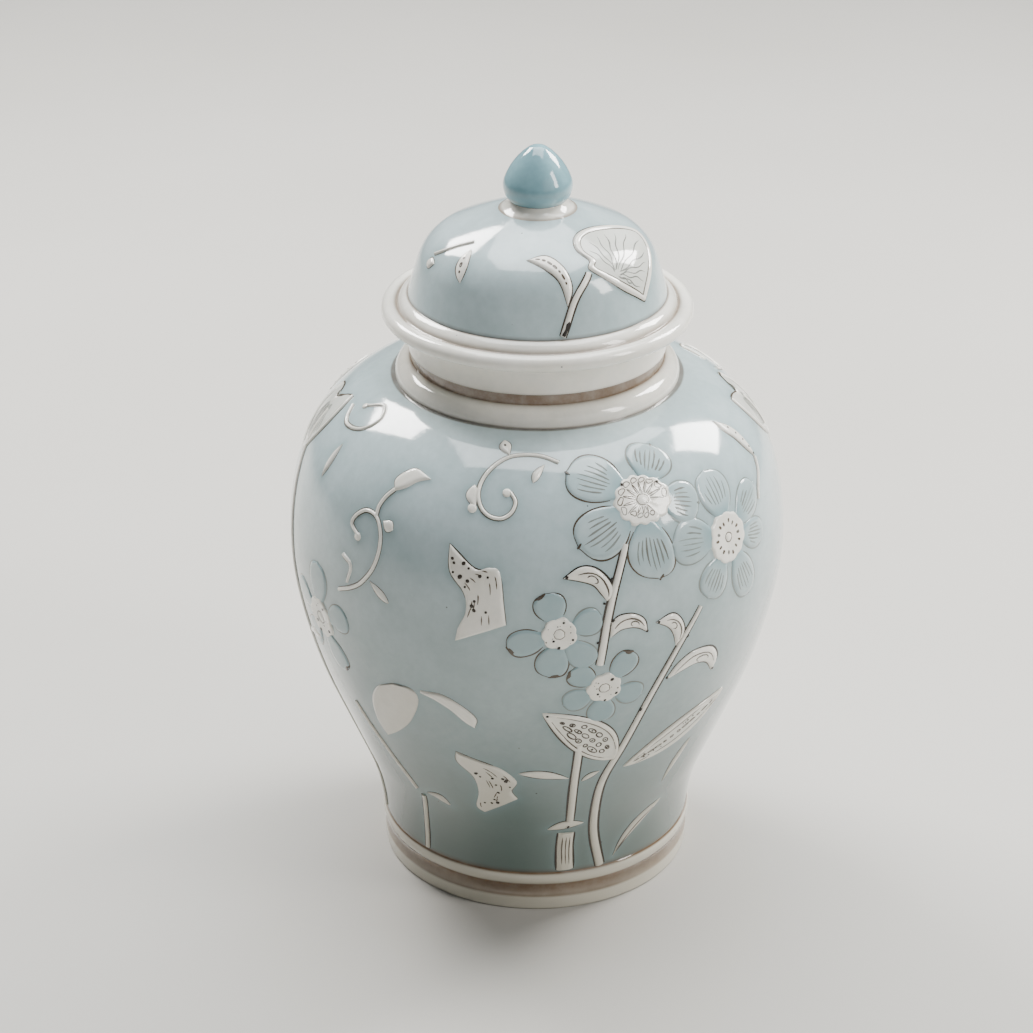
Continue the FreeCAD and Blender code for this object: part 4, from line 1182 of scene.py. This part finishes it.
def foot_outline():
    low, high = FOOT_GROOVE
    edge = 1.0
    soft = edge * (1.0 - math.sqrt(0.5))
    return drawn(
        (FOOT_INNER_RADIUS, FOOT_HEIGHT),
        ((FOOT_INNER_RADIUS, edge), 6),
        ((FOOT_INNER_RADIUS + soft, soft), (FOOT_INNER_RADIUS + edge, 0.0), 4),
        ((FOOT_RADIUS - edge, 0.0), 3),
        ((FOOT_RADIUS - soft, soft), (FOOT_RADIUS, edge), 5),
        ((FOOT_RADIUS, low), 8),
        ((FOOT_RADIUS - FOOT_GROOVE_DEPTH, (low + high) / 2), (FOOT_RADIUS, high), 14),
        ((FOOT_RADIUS + FOOT_BEAD_PROUD, (high + FOOT_HEIGHT) / 2), (FOOT_RADIUS, FOOT_HEIGHT), 14),
    )


def body_outline():
    outside = traced(body_wall, 1.5)
    outside[-1:-1] = [advance(body_wall[-1], share)[:2] for share in (0.978, 0.986, 0.993)]
    floor_edge = FLOOR_TOP + FLOOR_FILLET
    lining = [spot for spot in traced(offset(body_wall, -WALL), 6.0) if spot[1] > floor_edge]
    corner = lining[0][0] - 0.6
    soft = FLOOR_FILLET * 0.29
    underside = drawn((0.0, BASE_UNDERSIDE), ((FOOT_INNER_RADIUS, BASE_UNDERSIDE), 8))
    floor = drawn(
        (corner, floor_edge),
        ((corner - soft, FLOOR_TOP + soft), (corner - FLOOR_FILLET, FLOOR_TOP), 6),
        ((0.0, FLOOR_TOP), 8),
    )
    return [*underside, (FOOT_INNER_RADIUS, FOOT_HEIGHT), *outside, (NECK_BORE_RADIUS, shoulder_end[1]),
            *lining[::-1], *floor[1:]]


def neck_outline():
    seat_height = shoulder_end[1]
    stripe = NECK_RADIUS - STRIPE_DEPTH
    soft = RIM_EDGE * 0.3
    bead_crest = (NECK_BEAD_RADIUS - 0.5, (seat_height + NECK_BEAD_TOP) / 2 + 1.4)
    return drawn(
        (NECK_BEAD_FOOT_RADIUS, seat_height),
        (bead_crest, (NECK_RADIUS + 0.3, NECK_BEAD_TOP), 12),
        ((stripe, NECK_BEAD_TOP + 0.4), 1),
        ((stripe, STRIPE_TOP - 0.4), 6),
        ((NECK_RADIUS, STRIPE_TOP), 1),
        ((NECK_WAIST_RADIUS, (STRIPE_TOP + RIM_TOP) / 2), (NECK_LIP_RADIUS, RIM_TOP - RIM_EDGE), 14),
        ((NECK_LIP_RADIUS - soft, RIM_TOP - soft), (NECK_LIP_RADIUS - RIM_EDGE, RIM_TOP), 4),
        ((NECK_BORE_RADIUS + RIM_EDGE, RIM_TOP), 3),
        ((NECK_BORE_RADIUS + soft, RIM_TOP - soft), (NECK_BORE_RADIUS, RIM_TOP - RIM_EDGE), 4),
        ((NECK_BORE_RADIUS, seat_height), 5),
    )


def flange_outline():
    radius, height = ROLL_CENTRE
    top = height + ROLL_RADIUS
    quarter = ROLL_RADIUS * math.sqrt(0.5)
    groove, groove_height = FLANGE_GROOVE
    return drawn(
        (DOME_BASE[0] - DOME_WALL, DOME_BASE[1]),
        (DOME_BASE, 3),
        (FLANGE_BEAD_CREST, (groove - 0.4, groove_height + 0.2), 14),
        (FLANGE_GROOVE, (groove + 0.5, groove_height + 0.1), 4),
        ((radius - 1.2, top - 0.2), (radius, top), 8),
        ((radius + quarter, height + quarter), (radius + ROLL_RADIUS, height), 8),
        ((radius + quarter, height - quarter), (radius, RIM_TOP), 8),
        ((RING_RADIUS - RING_WALL, RIM_TOP), 8),
    )


def ring_outline():
    inner = RING_RADIUS - RING_WALL
    bottom = RIM_TOP - RING_DEPTH
    soft = 0.24
    return drawn(
        (RING_RADIUS, RIM_TOP),
        ((RING_RADIUS, bottom + RING_EDGE), 5),
        ((RING_RADIUS - soft, bottom + soft), (RING_RADIUS - RING_EDGE, bottom), 4),
        ((inner + RING_EDGE, bottom), 1),
        ((inner + soft, bottom + soft), (inner, bottom + RING_EDGE), 4),
        ((inner, RIM_TOP), 5),
    )


def dome_outline():
    lining = traced(offset(dome_wall, -DOME_WALL), 3.0)
    inside = [spot for spot in lining[::-1] if spot[1] > DOME_BASE[1] + 0.5]
    return [(DOME_BASE[0] - DOME_WALL, DOME_BASE[1]), *traced(dome_wall, 0.9), (0.0, crown_end[1]),
            (0.0, lining[-1][1]), *inside]


def collar_outline():
    radius, height = crown_end[:2]
    middle = (COLLAR_TOP_RADIUS + (radius - COLLAR_TOP_RADIUS) * COLLAR_HOLLOW,
              height + (COLLAR_TOP - height) * COLLAR_HOLLOW)
    flank = drawn((radius, height), (middle, (COLLAR_TOP_RADIUS, COLLAR_TOP), 12))
    return [(0.0, height), *flank, (0.0, COLLAR_TOP)]


def bud_outline():
    flank = traced(walk((COLLAR_TOP_RADIUS, COLLAR_TOP), BUD_HEADING, BUD_STEPS), 0.6)
    return [(0.0, COLLAR_TOP), *flank, (0.0, flank[-1][1])]


# Where iron wash was rubbed in: its strength at a (radius, height) place on the piece.

def foot_wash(radius, height):
    if radius < FOOT_INNER_RADIUS + 1.5:
        return 0.0
    low, high = FOOT_GROOVE
    groove = band_wash(height, low, high, 0.5) * (0.75 + 0.25 * soft_step(height, low, high))
    return max(groove, band_wash(height, FOOT_HEIGHT - 0.7, FOOT_HEIGHT + 1.0, 0.4))


def body_wash(radius, height):
    low = fading(height, FOOT_HEIGHT + 0.3, FOOT_HEIGHT + 1.6)
    high = 0.0
    if height > RIM_TOP * 0.8:
        high = fading(radius, shoulder_end[0] - 0.1, shoulder_end[0] + 0.7)
    return 0.8 * max(low, high)


def neck_wash(radius, height):
    if radius < NECK_BORE_RADIUS + 1.0:
        return 0.0
    stripe = band_wash(height, NECK_BEAD_TOP + 0.1, STRIPE_TOP - 0.1, 0.35)
    return max(stripe, 0.7 * fading(height, shoulder_end[1] + 0.1, shoulder_end[1] + 0.9))


def flange_wash(radius, height):
    groove, inner = 0.0, 0.0
    if height > ROLL_CENTRE[1]:
        groove = math.exp(-((radius - FLANGE_GROOVE[0] - 0.1) / 1.0) ** 2)
    if height > DOME_BASE[1] - 0.8:
        inner = 0.8 * fading(radius, DOME_BASE[0] + 0.1, DOME_BASE[0] + 0.8)
    return max(0.85 * groove, inner)


def dome_wash(radius, height):
    if radius <= DOME_BASE[0] - 1:
        return 0.0
    return 0.8 * fading(height, DOME_BASE[1] + 0.2, DOME_BASE[1] + 1.3)


def collar_wash(_radius, height):
    return 0.75 * fading(height, crown_end[1] + 0.1, crown_end[1] + 0.8)


def bud_wash(_radius, height):
    return 0.5 * fading(height, COLLAR_TOP, COLLAR_TOP + 0.8)


def lay_sprigs(sprigs, wall, body, sides):
    """Lays each sprig on each side of its wall. Returns the clay's places, for the glaze to pool round."""
    laid = []
    for seed, make in enumerate(sprigs, FIRST_SEED):
        sprig = Sprig(wall, seed)
        make(sprig)
        glaze, slot = cream_glaze, "cream_glaze"
        if make.__name__.endswith("petals"):
            glaze, slot = teal_glaze, "teal_glaze"
        for side, turn in sides:
            node = make.__name__ + side
            clay, brush = sprig.clay.copy(), sprig.brush.copy()
            turned = Matrix.Rotation(turn, 3, "Z")
            laid += [turned @ vert.co for vert in clay.verts]
            fire("clay_" + node, clay, glaze, body, slot, [node], turn)
            if len(brush.verts):
                fire("lines_" + node, brush, line_pigment, body, "cream_glaze", (), turn)
        sprig.clay.free()
        sprig.brush.free()
    return laid


def pooling(laid, reach, amount):
    """How much the glaze has gathered at a place, by how near the raised work is."""
    tree = KDTree(len(laid))
    for index, place in enumerate(laid):
        tree.insert(place, index)
    tree.balance()
    return lambda place: amount * math.exp(-tree.find(place)[2] / reach)


def build():
    on_jar = lay_sprigs(JAR_SPRIGS, body_wall, "jar", (("_front", 0.0), ("_back", HALF_TURN)))
    on_lid = lay_sprigs(LID_SPRIGS, dome_wall, "lid", (("", 0.0),))
    body_pool, dome_pool = pooling(on_jar, 2.2, 0.45), pooling(on_lid, 2.0, 0.4)
    blue, cream = (blue_glaze, "blue_glaze"), (cream_glaze, "cream_glaze")
    teal, bare = (bud_glaze, "teal_glaze"), (bare_porcelain, "bare_porcelain")
    for name, outline, segments, wash, pooled, (glaze, slot), body, nodes in (
        ("thrown_jar_body", body_outline, 320, body_wash, body_pool, blue, "jar",
         ["lower_body", "upper_body"]),
        ("thrown_foot_ring", foot_outline, 256, foot_wash, None, cream, "jar", ["foot_ring"]),
        ("thrown_neck_collar", neck_outline, 256, neck_wash, None, cream, "jar", ["neck_collar"]),
        ("thrown_lid_flange", flange_outline, 256, flange_wash, None, cream, "lid", ["lid_flange"]),
        ("turned_locating_ring", ring_outline, 192, None, None, bare, "lid", ["locating_ring"]),
        ("thrown_lid_dome", dome_outline, 256, dome_wash, dome_pool, blue, "lid", ["lid_dome"]),
        ("turned_finial_collar", collar_outline, 128, collar_wash, None, cream, "lid", ["finial_collar"]),
        ("turned_finial_bud", bud_outline, 128, bud_wash, None, teal, "lid", ["finial_bud"]),
    ):
        fire(name, throw(outline(), segments, wash, pooled), glaze, body, slot, nodes)


def lay_floor():
    """A broad pale board that the jar stands on."""
    work = bmesh.new()
    bmesh.ops.create_grid(work, x_segments=8, y_segments=8, size=3.0)
    mesh = bpy.data.meshes.new("floor")
    work.to_mesh(mesh)
    work.free()
    mesh.materials.append(plain_finish("pale_studio_floor", "#BFBDB8", "#BAB8B2", 400.0, 0.6, 8.0))
    floor = bpy.data.objects.new("floor", mesh)
    bpy.context.scene.collection.objects.link(floor)


def set_world():
    world = bpy.data.worlds.new("studio")
    world.use_nodes = True
    sky = world.node_tree.nodes["Background"]
    sky.inputs["Color"].default_value = linear("#D8DCE0")
    sky.inputs["Strength"].default_value = 0.18
    bpy.context.scene.world = world


place_camera()
light_the_set()
set_world()
lay_floor()
build()
